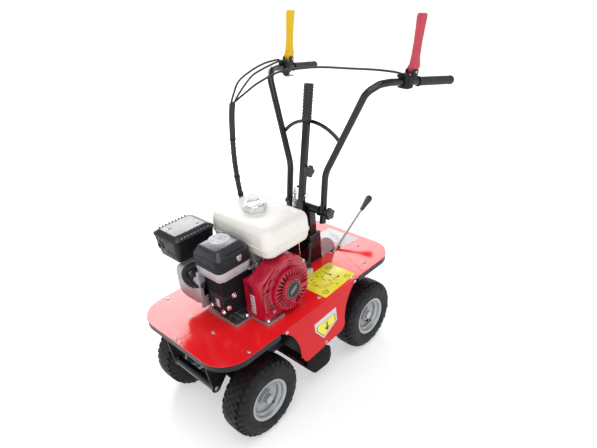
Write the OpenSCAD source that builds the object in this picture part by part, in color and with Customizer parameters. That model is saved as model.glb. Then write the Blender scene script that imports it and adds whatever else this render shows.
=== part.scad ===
// Walk-behind turf cutter with four pneumatic wheels, a small petrol engine and raised handlebars.
// +X is the machine's left side, +Y points back to the operator, +Z is up and z = 0 is the ground.

/* [Wheels] */
// Distance between the front and rear axles
wheelbase = 640; // [630:1:650]
// Outside diameter of each tyre
tyre_d = 320; // [316:1:324]
// Distance between the left and right wheel centres
track = 428; // [424:1:440]
// Radius of the wheel rim's bead seat
bead_r = 76.2; // [75:0.1:78]

/* [Deck] */
// Length of the deck
deck_len = 1020; // [1010:2:1030]
// Width of the deck over its skirts
deck_w = 546; // [544:1:550]
// Height of the deck's top face above the ground
deck_z = 430; // [429:1:431]
// Thickness of the deck sheet
sheet_t = 3; // [2:0.5:3]
// Radius of the deck's corners
corner_r = 115; // [90:5:120]
// Height of the black apron below the deck
apron_h = 24; // [16:1:28]

/* [Handlebar] */
// Outside diameter of the handlebar tube
bar_d = 28; // [26:1:30]
// Length of each hand grip
grip_len = 202; // [160:1:202]
// Diameter of each hand grip
grip_d = 34; // [32:1:38]

/* [Engine] */
// Radius of the recoil starter housing
recoil_r = 90; // [86:1:94]
// Height of the crankshaft above the ground
crank_z = 537; // [535:1:539]
// Corner radius of the fuel tank
tank_r = 40; // [25:1:50]

/* [Cutter] */
// Outside width of the U-shaped blade
blade_w = 492; // [480:1:492]
// Thickness of the blade's floor
blade_t = 6; // [5:0.5:8]
// Throw of each eccentric
throw = 6; // [4:0.5:6]

/* [Hidden] */

$fn = 64;
e = 0.01;                              // overshoot that keeps a cut's faces from lying in one plane
gap = 0.3;                             // clearance between moving parts that don't bear on each other
run = 0.05;                            // radial clearance of a running fit
mid_y = -117.7;                          // mid-wheelbase, measured from the part's origin
axle_y = wheelbase / 2;
axle_z = tyre_d / 2;
deck_under = deck_z - sheet_t;
half_w = deck_w / 2;
half_len = deck_len / 2;
plate_in = 119;                        // inner face of each frame plate
plate_out = 125;                       // outer face of each frame plate
engine_y = -110;                       // crankshaft
cutter_y = -50;                        // eccentric shaft
cutter_z = 240;
input_y = 235;                         // gearbox input shaft
input_z = 350;
output_y = 245;                        // gearbox output shaft
output_z = 300;
lever_y = 176;                         // depth lever's pivot
lever_z = 590;
lean = 10.7;                           // backward lean of the depth lever
link_reach = 150;                      // depth lever's pivot to the link pin
bar_y = 225;                           // handlebar's tilt pivot
bar_z = 687;
tube_x = 98;                           // handlebar tube at its foot
bend = [303, 400, 1207];               // last bend before the grips
yaw = 11;                              // outward turn of the grips
pitch = 9;                             // downward slope of the grips
pivot = [0, 112, 37];                  // squeeze lever's pin, in the grip's own frame
tube_wall = 2.5;

// ---------- helpers ----------

module at_mid() { translate([0, mid_y, 0]) children(); }

module both_sides() {
    children();
    mirror([1, 0, 0]) children();
}

// Plate in the YZ plane between two X positions, drawn as [y, z]
module x_plate(x0, x1) { translate([x0, 0, 0]) rotate([90, 0, 90]) linear_extrude(x1 - x0) children(); }

module x_cyl(x0, x1, y, z, r) { translate([x0, y, z]) rotate([0, 90, 0]) cylinder(h = x1 - x0, r = r); }

module block(x0, x1, y0, y1, z0, z1) { translate([x0, y0, z0]) cube([x1 - x0, y1 - y0, z1 - z0]); }

// Rectangle with true round corners
module round_rect(x0, x1, y0, y1, r) {
    translate([x0 + r, y0]) square([x1 - x0 - 2 * r, y1 - y0]);
    translate([x0, y0 + r]) square([x1 - x0, y1 - y0 - 2 * r]);
    for (x = [x0 + r, x1 - r], y = [y0 + r, y1 - r]) translate([x, y]) circle(r);
}

module round_block(x0, x1, y0, y1, z0, z1, r) {
    translate([0, 0, z0]) linear_extrude(z1 - z0) round_rect(x0, x1, y0, y1, r);
}

// Straight rod between two points
module rod(a, b, r) {
    d = b - a;
    translate(a) rotate([0, acos(d.z / norm(d)), atan2(d.y, d.x)]) cylinder(h = norm(d), r = r);
}

// Points of an outline around two pulleys, in the YZ plane
function loop_points(a, ra, b, rb) = let (d = b - a, along = atan2(d.y, d.x), lead = acos((ra - rb) / norm(d)))
    concat(
        [for (k = [0 : 16]) let (t = along + lead + k * (360 - 2 * lead) / 16) a + ra * [cos(t), sin(t)]],
        [for (k = [0 : 12]) let (t = along - lead + k * 2 * lead / 12) b + rb * [cos(t), sin(t)]]);

module loop_outline(a, ra, b, rb) { polygon(loop_points(a, ra, b, rb)); }

module loop_band(x0, x1, a, ra, b, rb, t) {
    difference() {
        x_plate(x0, x1) loop_outline(a, ra + t, b, rb + t);
        x_plate(x0 - e, x1 + e) loop_outline(a, ra, b, rb);
    }
}

// Frame of the left grip: +Y runs back along the tube from the last bend
module in_grip_frame() { translate(bend) rotate([0, 0, -yaw]) rotate([-pitch, 0, 0]) children(); }

// Frame of the left squeeze lever: +Z is upright and the pin is at the origin
module in_lever_frame() {
    translate(bend) rotate([0, 0, -yaw])
        translate([0, pivot.y * cos(pitch) + pivot.z * sin(pitch), pivot.z * cos(pitch) - pivot.y * sin(pitch)])
            children();
}

// Frame of the depth lever: +Z runs up along it from its pivot
module in_depth_frame() { translate([0, lever_y, lever_z]) rotate([-lean, 0, 0]) children(); }

// A tube swept along points by rings of the same count, closed at both ends
function unit(v) = v / norm(v);
function heading(p, i) = unit(p[min(i + 1, len(p) - 1)] - p[max(i - 1, 0)]);
function side_of(t) = unit(cross(t, abs(t.x) < 0.9 ? [1, 0, 0] : [0, 1, 0]));
function ring(c, t, r, n) = let (u = side_of(t), v = cross(t, u))
    [for (k = [0 : n - 1]) c + r * (cos(360 * k / n) * u + sin(360 * k / n) * v)];
function spline(p, i, s) = let (n = len(p) - 1, a = p[max(i - 1, 0)], b = p[i], c = p[i + 1], d = p[min(i + 2, n)])
    0.5 * (2 * b + (c - a) * s + (2 * a - 5 * b + 4 * c - d) * s * s + (3 * b - a - 3 * c + d) * s * s * s);
function smooth_route(p, steps) = concat(
    [for (i = [0 : len(p) - 2], k = [0 : steps - 1]) spline(p, i, k / steps)], [p[len(p) - 1]]);

module swept_tube(route, r, n, steps) {
    p = smooth_route(route, steps);
    m = len(p);
    polyhedron(
        points = [for (i = [0 : m - 1]) each ring(p[i], heading(p, i), r, n)],
        faces = concat(
            [[for (k = [0 : n - 1]) k]],
            [for (i = [0 : m - 2], k = [0 : n - 1])
                [i * n + (k + 1) % n, i * n + k, (i + 1) * n + k, (i + 1) * n + (k + 1) % n]],
            [[for (k = [n - 1 : -1 : 0]) (m - 1) * n + k]]));
}

// ---------- chassis ----------

module frame_plate() {
    slot_y = 12.2;
    difference() {
        x_plate(plate_in, plate_out) {
            polygon([[-480, 403], [-480, 330], [-466, 228], [-434, 226], [-400, 262], [-376, 215], [-352, 132],
                [-288, 132], [-262, 200], [262, 200], [288, 132], [352, 132], [376, 215], [420, 300], [480, 350],
                [480, 403]]);
            translate([-450, 231]) circle(17);
        }
        x_cyl(plate_in - e, plate_out + e, -axle_y, axle_z, 14);
        x_cyl(plate_in - e, plate_out + e, axle_y, axle_z, 16);
        block(plate_in - e, plate_out + e, -slot_y, slot_y, 236, 372);
        block(plate_in - e, plate_out + e, cutter_y - 14, cutter_y + 14, 190, 256);
    }
}

module frame_plates() at_mid() color("#1d1f22") both_sides() frame_plate();

module cross_members() at_mid() color("#1d1f22") {
    block(-plate_in, plate_in, -436, -430, 330, 403);
    block(-plate_in, plate_in, 430, 436, 330, 403);
    block(-50, plate_in, -300, -40, 421, deck_under);
    both_sides() for (y = [-112, 108]) block(plate_out, half_w - sheet_t, y, y + 4, 224, 402);
}

module deck_outline(inset) {
    round_rect(-half_w + inset, half_w - inset, -half_len + inset, half_len - inset, corner_r - inset);
}

module deck_aprons() at_mid() color("#15171a") {
    for (s = [-1, 1]) difference() {
        translate([0, 0, deck_under - apron_h]) linear_extrude(apron_h) deck_outline(1);
        translate([0, 0, deck_under - apron_h - e]) linear_extrude(apron_h + 2 * e) deck_outline(4);
        translate([-300, s > 0 ? -600 : -236, 300]) cube([600, 836, 200]);
    }
}

module skirt_outline() {
    difference() {
        union() {
            polygon([[-244, deck_z], [-244, 300], [-126, 232], [-100, 203], [100, 216], [134, 246], [210, 300],
                [236, deck_z]]);
            translate([-98, 231]) circle(28);
            translate([98, 248]) circle(32);
        }
        translate([-336, 258]) circle(198);
        translate([327, 262]) circle(196);
    }
}

// Front edge of the rear cover: level in the middle, then slanting forward to the deck's edge
module rear_region(grow) {
    polygon([[-300, 255 - grow], [-242, 278 - grow], [-51, 369 - grow], [51, 369 - grow], [242, 278 - grow],
        [300, 255 - grow], [300, 600], [-300, 600]]);
}

module side_cover() {
    seam = 0.6;
    difference() {
        translate([0, 0, deck_under]) linear_extrude(sheet_t) difference() {
            deck_outline(0);
            rear_region(1.2);
            translate([-300, -600]) square([300 + seam, 1200]);
        }
        block(-20, 20, 4, 74, 420, 440);
    }
    x_plate(half_w - sheet_t, half_w) skirt_outline();
}

module left_deck_cover() at_mid() color("#d8191c") difference() {
    side_cover();
    gear_slot();
}

module right_deck_cover() at_mid() color("#d8191c") difference() {
    mirror([1, 0, 0]) side_cover();
    block(-112, -78, -27, 219, 420, 440);
    block(-78.1, -52, -168, 10, 420, 440);
}

module rear_deck_cover() at_mid() color("#d8191c") difference() {
    translate([0, 0, deck_under]) linear_extrude(sheet_t) intersection() {
        deck_outline(0);
        rear_region(0);
    }
    gear_slot();
}

// Slot that the gear lever swings in
module gear_slot() { block(46, 64, 306, 376, 420, 440); }

module fasteners() at_mid() color("#c9ccd0") {
    for (p = [[14, -500], [70, -388], [252, -373], [240, 16], [262, 203], [120, 430], [230, 330]])
        both_sides() translate([p.x, p.y, deck_z]) screw_head();
    both_sides() for (p = [[-205, 414], [8, 224], [206, 418]])
        translate([half_w, p.x, p.y]) rotate([0, 90, 0]) screw_head();
    both_sides() translate([plate_out, -450, 231]) rotate([0, 90, 0]) cylinder(h = 6, r = 9.5, $fn = 6);
}

module screw_head() {
    rotate_extrude() intersection() {
        translate([0, -5]) circle(8.6);
        square([6, 3.5]);
    }
}

module front_bar() at_mid() color("#1b1e23") difference() {
    x_cyl(-plate_in, plate_in, -450, 231, 15);
    x_cyl(-plate_in + 4, plate_in - 4, -450, 231, 12.5);
}

// ---------- wheels ----------

module tyre() color("#17181a") rotate([0, 90, 0]) rotate_extrude($fn = 96) difference() {
    crown = tyre_d / 2;
    polygon([[bead_r, -52], [86, -52], [100, -58], [125, -59], [144, -55], [crown - 4, -45], [crown - 1, -27],
        [crown, -12], [crown, 12], [crown - 1, 27], [crown - 4, 45], [144, 55], [125, 59], [100, 58], [86, 52],
        [bead_r, 52]]);
    polygon([[bead_r - 1, -38], [bead_r + 4, -42], [100, -48], [125, -49], [139, -45], [148, -34], [151, 0],
        [148, 34], [139, 45], [125, 49], [100, 48], [bead_r + 4, 42], [bead_r - 1, 38]]);
}

// Rim about the X axis with its dish facing +X
module rim(bore_r, hub_r) color("#b9bcc0") rotate([0, 90, 0]) rotate_extrude($fn = 96) {
    polygon([[bead_r, -52], [bead_r, -41], [66, -33], [66, 33], [bead_r, 41], [bead_r, 52], [85, 52.3],
        [85, 55.5], [bead_r - 3, 55.5], [bead_r - 3, 43], [63, 35], [63, -35], [bead_r - 3, -43],
        [bead_r - 3, -55.5], [85, -55.5], [85, -52.3]]);
    polygon([[bore_r, -38], [hub_r, -38], [hub_r, 2], [63.5, 14], [63.5, 18], [hub_r, 8], [hub_r, 38],
        [bore_r, 38]]);
}

module left_wheel_place(y) { translate([track / 2, y, axle_z]) children(); }
module right_wheel_place(y) { translate([-track / 2, y, axle_z]) mirror([1, 0, 0]) children(); }

module front_left_rim() at_mid() left_wheel_place(-axle_y) rim(21, 27);
module front_right_rim() at_mid() right_wheel_place(-axle_y) rim(21, 27);
module front_left_tyre() at_mid() left_wheel_place(-axle_y) tyre();
module front_right_tyre() at_mid() right_wheel_place(-axle_y) tyre();

module rear_rims() at_mid() {
    left_wheel_place(axle_y) rim(12.5, 25);
    right_wheel_place(axle_y) rim(12.5, 25);
}

module rear_tyres() at_mid() {
    left_wheel_place(axle_y) tyre();
    right_wheel_place(axle_y) tyre();
}

module front_axle() at_mid() color("#8f949b") {
    hub_in = track / 2 - 38;
    x_cyl(-hub_in + gap, hub_in - gap, -axle_y, axle_z, 14);
    x_cyl(-track / 2 - 40, track / 2 + 40, -axle_y, axle_z, 10);
    both_sides() x_cyl(track / 2 + 38 + gap, track / 2 + 52, -axle_y, axle_z, 16);
}

module rear_axle() at_mid() color("#8f949b") {
    x_cyl(-track / 2 - 38, track / 2 + 38, axle_y, axle_z, 12.5);
    both_sides() x_cyl(track / 2 + 38, track / 2 + 46, axle_y, axle_z, 16);
}

module wheel_bearings() at_mid() color("#a7abb0") {
    both_sides() for (x = [-38, 26]) difference() {
        x_cyl(track / 2 + x, track / 2 + x + 12, -axle_y, axle_z, 21 - run);
        x_cyl(track / 2 + x - e, track / 2 + x + 12 + e, -axle_y, axle_z, 10);
    }
    both_sides() difference() {
        union() {
            x_cyl(plate_in - 14, plate_in, axle_y, axle_z, 30);
            x_plate(plate_in - 5, plate_in) translate([axle_y, axle_z]) square(66, center = true);
        }
        x_cyl(plate_in - 14 - e, plate_in + e, axle_y, axle_z, 12.5 + run);
    }
}

// Flat toothed wheel in the YZ plane
module sprocket(x0, x1, teeth, r) {
    x_plate(x0, x1) difference() {
        circle(r);
        for (k = [0 : teeth - 1]) rotate((k + 0.5) * 360 / teeth) translate([r, 0]) circle(r * 1.6 / teeth);
    }
}

module rear_sprocket() at_mid() color("#7d8288") difference() {
    translate([0, axle_y, axle_z]) {
        sprocket(66, 70, 30, 60);
        x_cyl(58, 80, 0, 0, 22);
    }
    x_cyl(50, 90, axle_y, axle_z, 12.5);
}

// ---------- engine ----------

module crankcase() at_mid() color("#a9adb1") difference() {
    union() {
        round_block(-54, 120, -188, -25, 431, 600, 18);
        round_block(-53, 125, -318, -150, 431, 443, 8);
        round_block(110, 215, -240, -150, 431, 441, 6);
        for (x = [-46, 90]) block(x, x + 18, -62, -34, 598, 672);
        translate([118, -180, 598]) cylinder(h = 45, r = 5);
        translate([118, -180, 640]) cylinder(h = 10, r = 3);
        x_cyl(-56, -50, engine_y, crank_z, 46);
    }
    round_block(-42, 108, -176, -37, 447, 588, 12);
    x_cyl(-60, 130, engine_y, crank_z, 17.5 + run);
    for (x = [-30, 60]) translate([x, -296, 430]) linear_extrude(14) round_rect(0, 50, 0, 9, 4.4);
    for (y = [-225, -185]) translate([150, y, 430]) linear_extrude(14) round_rect(0, 44, 0, 9, 4.4);
}

module cylinder_head() at_mid() color("#b3b6b9") difference() {
    translate([0, -188, 0]) rotate([90, 0, 0]) linear_extrude(172) round_rect(-165, -11, 490, 640, 42);
    translate([0, -190, 0]) rotate([90, 0, 0]) linear_extrude(140) round_rect(-120, -50, 520, 590, 30);
}

module cylinder_block() at_mid() color("#1c1d1f") {
    difference() {
        round_block(-10, 102, -335, -189, 478, 641, 10);
        translate([0, -330 - 20, 0]) for (z = [575 : 12 : 635]) block(-20, 115, 0, 24, z, z + 5);
        for (z = [575 : 12 : 635]) block(95, 115, -340, -200, z, z + 5);
    }
}

// Side outline of the fan housing: the scroll round the fan and the duct towards the front
module fan_outline(grow) {
    intersection() {
        union() {
            translate([engine_y, 552]) circle(112 + grow);
            polygon([[-245 - grow, 450 - grow], [-245 - grow, 612 + grow], [-160, 650 + grow], [-90, 657 + grow],
                [-90, 450 - grow]]);
        }
        translate([-400, 445 - grow]) square([600, 300]);
    }
}

// Plan of the housing, whose outer front edge is rounded
module fan_plan(x0, inset) {
    front = -245 + inset;
    side = 205 - inset;
    round_r = 40 - inset;
    translate([x0, front + round_r]) square([side - x0, 300]);
    translate([x0, front]) square([side - round_r - x0, round_r + 1]);
    translate([side - round_r, front + round_r]) circle(round_r);
}

module fan_cover() at_mid() color("#b01030") difference() {
    union() {
        intersection() {
            x_plate(128, 205) fan_outline(0);
            translate([0, 0, 400]) linear_extrude(400) fan_plan(128, 0);
        }
        block(106, 129, -245, -192, 445, 608);
        x_cyl(175, 204, -100, 634, 36);
    }
    intersection() {
        x_plate(127, 200) fan_outline(-4);
        translate([0, 0, 400]) linear_extrude(400) fan_plan(127, 4);
    }
    block(105, 128, -241, -191, 440, 604);
    x_cyl(190, 210, engine_y, crank_z, 76);
}

module recoil_starter() at_mid() color("#b01030") difference() {
    union() {
        x_cyl(205, 222, engine_y, crank_z, recoil_r);
        x_cyl(222, 230, engine_y, crank_z, 44);
    }
    x_cyl(204, 217, engine_y, crank_z, recoil_r - 5);
    translate([0, engine_y, crank_z]) for (k = [0 : 23]) rotate([k * 15, 0, 0]) block(216, 223, -3.2, 3.2, 50, 78);
}

module starter_grip() at_mid() color("#1a1a1c") {
    round_block(166, 206, 12, 30, 549, 573, 7);
    translate([186, 12, 561]) rotate([90, 0, 0]) cylinder(h = 8, r = 8);
}

module muffler() at_mid() color("#202124") {
    difference() {
        union() {
            round_block(-246, -94, -374, -191, 652, 743, 20);
            round_block(-250, -90, -378, -188, 742, 749, 22);
            round_block(-240, -100, -368, -198, 748, 763, 16);
        }
        round_block(-242, -98, -370, -195, 655, 746, 17);
        round_block(-236, -104, -364, -202, 740, 760, 13);
        for (k = [0 : 8]) block(-220 + k * 12, -215 + k * 12, -380, -368, 670, 705);
        translate([-125, -230, 640]) cylinder(h = 18, r = 11);
    }
    translate([-125, -230, 640.2]) difference() {
        cylinder(h = 14, r = 14);
        translate([0, 0, -1]) cylinder(h = 16, r = 11);
    }
}

module air_cleaner_base() at_mid() color("#c9cacc") difference() {
    round_block(-45, 108, -347, -189, 642, 674, 26);
    round_block(-40, 103, -342, -194, 647, 675, 22);
    translate([58, -206, 640]) cylinder(h = 10, r = 9);
}

module air_cleaner_cover() at_mid() color("#26272a") difference() {
    union() {
        round_block(-47, 110, -349, -187, 674, 722, 28);
        round_block(-35, 98, -337, -199, 718, 752, 24);
    }
    round_block(-43, 106, -345, -191, 673, 718, 24);
    round_block(-31, 94, -333, -203, 700, 748, 20);
}

module carburettor() at_mid() color("#8b8f93") {
    round_block(24, 92, -170, -122, 602, 650, 8);
    translate([58, -146, 649]) cylinder(h = 21, r = 14);
}

module choke_lever() at_mid() color("#c4c7ca") difference() {
    round_block(111, 125, -224, -173, 644, 647, 6);
    translate([118, -180, 640]) cylinder(h = 10, r = 3 + run);
}

module fuel_tank() at_mid() color("#f1efe9") {
    neck = [0, -59];
    difference() {
        union() {
            round_block(-150, 192, -181, 59, 684, 790, tank_r);
            round_block(-138, 180, -169, 47, 672, 685, tank_r - 12);
            round_block(-153, 195, -184, 62, 714, 719, tank_r + 3);
        }
        round_block(-147, 189, -178, 56, 687, 787, tank_r - 3);
        round_block(-135, 177, -166, 44, 675, 688, tank_r - 15);
        translate([neck.x, neck.y, 780]) cylinder(h = 20, r = 20);
    }
    translate([neck.x, neck.y, 789]) difference() {
        cylinder(h = 10.8, r = 24);
        translate([0, 0, -1]) cylinder(h = 14, r = 20);
    }
}

module fuel_cap() at_mid() translate([0, -59, 790 + gap]) color("#d7d9dc") difference() {
    union() {
        cylinder(h = 27, r = 42);
        for (k = [0 : 5]) rotate(k * 60) translate([37, 0, 0]) cylinder(h = 24, r = 12);
    }
    translate([0, 0, -1]) cylinder(h = 12, r = 24 + run);
}

module crankshaft() at_mid() color("#8f949b") {
    x_cyl(-108, -16, engine_y, crank_z, 17.5);
    x_cyl(42, 150, engine_y, crank_z, 17.5);
    for (x = [-20, 34]) {
        x_cyl(x, x + 12, engine_y, crank_z, 30);
        x_cyl(x, x + 12, engine_y, crank_z - 18, 28);
    }
    x_cyl(-10, 36, engine_y, crank_z + 20, 12);
}

module flywheel_fan() at_mid() color("#4a4d50") difference() {
    translate([0, engine_y, crank_z]) {
        x_cyl(134, 146, 0, 0, 74);
        for (k = [0 : 15]) rotate([k * 22.5, 0, 0]) block(145, 164, -1.5, 1.5, 40, 72);
    }
    x_cyl(130, 150, engine_y, crank_z, 17.5);
}

module pulley(x0, x1, r, bore_r) {
    difference() {
        union() {
            x_cyl(x0, x1, 0, 0, r);
            x_cyl(x0, x0 + 3, 0, 0, r + 7);
            x_cyl(x1 - 3, x1, 0, 0, r + 7);
        }
        x_cyl(x0 - e, x1 + e, 0, 0, bore_r);
    }
}

module engine_pulley() at_mid() translate([0, engine_y, crank_z]) color("#55585c") {
    pulley(-106, -82, 40, 17.5);
    pulley(-82, -58, 40, 17.5);
}

module belt_guard() at_mid() color("#1c1d1f") difference() {
    block(-119, -57, -172, 224, deck_z, 592);
    block(-116, -54, -169, 221, deck_z - 1, 589);
}

module drive_belt() at_mid() color("#121212")
    loop_band(-102, -86, [engine_y, crank_z], 40 + gap, [input_y, input_z], 50 + 3 * gap, 8);

module cutter_belt() at_mid() color("#121212")
    loop_band(-78, -62, [engine_y, crank_z], 40 + gap, [cutter_y, cutter_z], 38 + 3 * gap, 8);

// ---------- gearbox and chain ----------

module gearbox() at_mid() color("#3a3d40") difference() {
    union() {
        round_block(-60, 60, 205, 285, 262, 392, 10);
        block(-40, 40, 215, 275, 391, deck_under);
        block(47, 63, 284, 316, 380, 390);
        x_cyl(47, 50, 300, 405, 12);
        block(47, 50, 288, 312, 385, 405);
        x_cyl(49, 62, 300, 405, 5);
    }
    round_block(-52, 52, 213, 277, 270, 384, 6);
    x_cyl(-61, -51, input_y, input_z, 10 + run);
    x_cyl(51, 61, output_y, output_z, 10 + run);
}

module gearbox_pulley() at_mid() translate([0, input_y, input_z]) color("#55585c") {
    pulley(-106, -82, 50, 10);
    x_cyl(-106, -30, 0, 0, 10);
}

module output_sprocket() at_mid() translate([0, output_y, output_z]) color("#7d8288") {
    x_cyl(30, 76, 0, 0, 10);
    sprocket(66, 70, 12, 25);
}

module drive_chain() at_mid() color("#5d6064") for (x = [62, 72])
    loop_band(x, x + 2, [output_y, output_z], 19, [axle_y, axle_z], 54, 9);

// ---------- column and depth control ----------

module column() at_mid() color("#1a1b1e") {
    difference() {
        union() {
            block(-25, 45, 190, 260, deck_z, 565);
            block(-16, 38, 206, 244, 564, 676);
            x_cyl(-84 + gap, 84 - gap, bar_y, bar_z, 17);
        }
        block(-21, 41, 194, 256, deck_z - 1, 561);
    }
    both_sides() x_cyl(70, 116, bar_y, bar_z, 8);
    both_sides() block(17.5, 25, 158, 207, lever_z - 22, lever_z + 22);
    x_cyl(-20, 20, lever_y, lever_z, 8);
    block(-52, -15.5, 186, 222, 655, 671);
}

module depth_lever() at_mid() color("#1b1c1f") {
    difference() {
        union() {
            in_depth_frame() {
                block(-15, 15, -8, 8, -16, 472);
                translate([0, 0, 471]) cylinder(h = 140, r = 12);
                x_cyl(-15, 15, 0, 0, 17);
                x_cyl(-30, -14, 0, 190, 5);
            }
            x_plate(-6, 6) polygon([[lever_y, lever_z - 15], [lever_y, lever_z + 15],
                [lever_y - link_reach, lever_z + 10], [lever_y - link_reach, lever_z - 10]]);
            x_cyl(-6, 6, lever_y - link_reach, lever_z, 12);
        }
        x_cyl(-20, 20, lever_y, lever_z, 8 + run);
    }
    x_cyl(5, 18, lever_y - link_reach, lever_z, 6);
}

module depth_grip() at_mid() in_depth_frame() color("#202124") difference() {
    translate([0, 0, 474]) cylinder(h = 143, r = 20);
    translate([0, 0, 473]) cylinder(h = 138, r = 12);
}

module star_knob(r, h) {
    cylinder(h = h, r = r - 5);
    for (k = [0 : 4]) rotate(k * 72) translate([r - 9, 0, 0]) cylinder(h = h, r = 9);
}

module lever_knob() at_mid() in_depth_frame() translate([0, 0, 268]) rotate([0, 90, 0]) color("#141416") {
    translate([0, 0, 15 + gap]) cylinder(h = 8, r = 8);
    translate([0, 0, 23]) star_knob(24, 20);
}

module bar_knob() at_mid() translate([116 + gap, bar_y, bar_z]) rotate([0, 90, 0]) color("#141416") {
    cylinder(h = 8, r = 8);
    translate([0, 0, 7]) rotate(20) star_knob(24, 20);
}

module depth_link() at_mid() color("#1b1c1f") difference() {
    link_y = lever_y - link_reach;
    x_plate(8, 16) {
        translate([link_y - 12, 380]) square([24, lever_z - 380]);
        translate([link_y, lever_z]) circle(12);
    }
    x_cyl(7, 17, link_y, lever_z, 6 + run);
}

module balance_spring() at_mid() color("#c8cbce") {
    foot = [-40, 193, 671.5];
    head = [-40, 208, 771];
    rod(foot, head, 4);
    rod(foot + 0.15 * (head - foot), foot + 0.85 * (head - foot), 9);
}

// ---------- cutter ----------

module cutter_carrier() at_mid() color("#26282b") difference() {
    union() {
        block(-229, 229, -12, 12, 330, 370);
        both_sides() x_plate(228, 234) {
            polygon([[-25, 378], [25, 378], [30, 322], [-26, 222], [-74, 222], [-74, 262]]);
            translate([cutter_y, cutter_z]) circle(24);
        }
        x_plate(17, 23) polygon([[-12, 369], [60, 369], [60, 404], [-12, 404]]);
    }
    block(-200, 200, -9, 9, 333, 367);
    both_sides() x_cyl(227, 235, cutter_y, cutter_z, 12 + run);
}

module eccentric_shaft() at_mid() translate([0, cutter_y, cutter_z]) color("#8f949b") {
    x_cyl(-236, 236, 0, 0, 12);
    both_sides() x_cyl(236, 250, 0, throw, 14);
    pulley(-82, -58, 38, 12);
}

module blade_arm_outline() {
    difference() {
        union() {
            polygon([[-98, 192], [-2, 192], [-2, 292], [-98, 292]]);
            polygon([[-80, 200], [-80, 120], [-42, 70], [20, 66], [40, 66], [64, 100], [62, 150], [-2, 200]]);
            translate([34, 96]) circle(30);
        }
        translate([cutter_y - 27, 212]) square([54, 56]);
    }
}

module blade() at_mid() color("#202225") {
    both_sides() x_plate(238, blade_w / 2) blade_arm_outline();
    difference() {
        x_plate(-238.5, 238.5) polygon([[-50, 78], [-44, 70 + blade_t], [30, 66 + blade_t], [30, 66], [-42, 70]]);
        block(-200, 200, -5, 5, 60, 69);
    }
}

// ---------- handlebar ----------

tube_end = bend + 347.8 * [sin(yaw) * cos(pitch), cos(yaw) * cos(pitch), -sin(pitch)];
tube_route = [[tube_x, 219, 640], [tube_x, 250, 850], [252, 322, 1180], [284, 362, 1206], bend, tube_end];

// Straight legs along the route, each stopping short of its ends
module tube_legs(r, short) {
    for (i = [0 : len(tube_route) - 2]) {
        along = unit(tube_route[i + 1] - tube_route[i]);
        rod(tube_route[i] + short * along, tube_route[i + 1] - short * along, r);
    }
}

// Each corner is filled by a ball just larger than the tube, and the legs are bored between them
module handlebar_tube() {
    difference() {
        union() {
            tube_legs(bar_d / 2, 0);
            for (i = [1 : len(tube_route) - 2]) translate(tube_route[i]) rotate([0, 90, 0]) sphere(bar_d / 2 + 0.4);
        }
        tube_legs(bar_d / 2 - tube_wall, 16);
        x_cyl(80, 116, bar_y, bar_z, 8 + run);
    }
}

module handlebar() at_mid() color("#1d2026") {
    both_sides() handlebar_tube();
    brace_r = 211;
    half = 46;
    translate([0, 288, 1044 - brace_r]) rotate([90, 0, 0]) rotate([0, 0, 90 - half])
        rotate_extrude(angle = 2 * half) translate([brace_r, 0]) circle(8);
}

module handlebar_grips() at_mid() color("#2b2c2e") both_sides() in_grip_frame() difference() {
    translate([0, 150, 0]) rotate([-90, 0, 0]) cylinder(h = grip_len, r = grip_d / 2);
    translate([0, 149, 0]) rotate([-90, 0, 0]) cylinder(h = grip_len - 3, r = bar_d / 2);
}

module lever_housing() in_grip_frame() {
    difference() {
        union() {
            block(-21, 21, 62, 106, -24, 25);
            block(-13, 13, 40, 66, 12, 28);
            for (x = [-21, 14.5]) block(x, x + 6.5, 98, 124, 10, 48);
        }
        translate([0, 38, 0]) rotate([-90, 0, 0]) cylinder(h = 92, r = bar_d / 2);
    }
    translate([-21, pivot.y, pivot.z]) rotate([0, 90, 0]) cylinder(h = 42, r = 3);
}

module lever_housings() at_mid() color("#1a1b1e") {
    both_sides() lever_housing();
    mirror([1, 0, 0]) in_grip_frame() {
        block(-12, 12, 84, 104, -34, -20);
        translate([0, 100, -46]) cylinder(h = 14, r = 3);
    }
}

module squeeze_lever() in_lever_frame() difference() {
    x_plate(-13, 13) {
        circle(9);
        polygon([[-8, 4], [9, -2], [20, 18], [36, 100], [50, 190], [48, 200], [36, 200], [20, 103], [6, 24],
            [-6, 14]]);
    }
    x_cyl(-14, 14, 0, 0, 3 + run);
}

module red_lever() at_mid() color("#e0364a") squeeze_lever();
module yellow_lever() at_mid() color("#f0c414") mirror([1, 0, 0]) squeeze_lever();

module throttle_lever() at_mid() mirror([1, 0, 0]) in_grip_frame() color("#d8263a") difference() {
    translate([0, 100, -41]) {
        cylinder(h = 6, r = 13);
        translate([-6, 0, 0]) cube([12, 52, 6]);
    }
    translate([0, 100, -50]) cylinder(h = 20, r = 3 + run);
}

// ---------- gear change ----------

gear_angle = 31;

module in_gear_frame() { translate([56, 300, 405]) rotate([gear_angle, 0, 0]) children(); }

module gear_lever() at_mid() in_gear_frame() color("#c9cccf") {
    difference() {
        union() {
            translate([0, 8, 0]) rotate([-90, 0, 0]) cylinder(h = 290, r = 4.5);
            x_cyl(-6, 6, 0, 0, 11);
        }
        x_cyl(-7, 7, 0, 0, 5 + run);
    }
    gear_knob();
}

module gear_knob() rotate([-90, 0, 0]) rotate_extrude() difference() {
    polygon([[0, 286], [8, 286], [9, 300], [13, 345], [14, 358], [11, 366], [0, 368]]);
    polygon([[-1, 285], [4, 285], [4, 299], [-1, 299]]);
}

module gear_gate() at_mid() color("#8d9094") x_plate(43, 46) intersection() {
    difference() {
        translate([261, 430]) circle(88);
        translate([261, 430]) circle(12);
    }
    translate([261, 430]) square(100);
}

// ---------- cables ----------

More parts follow.
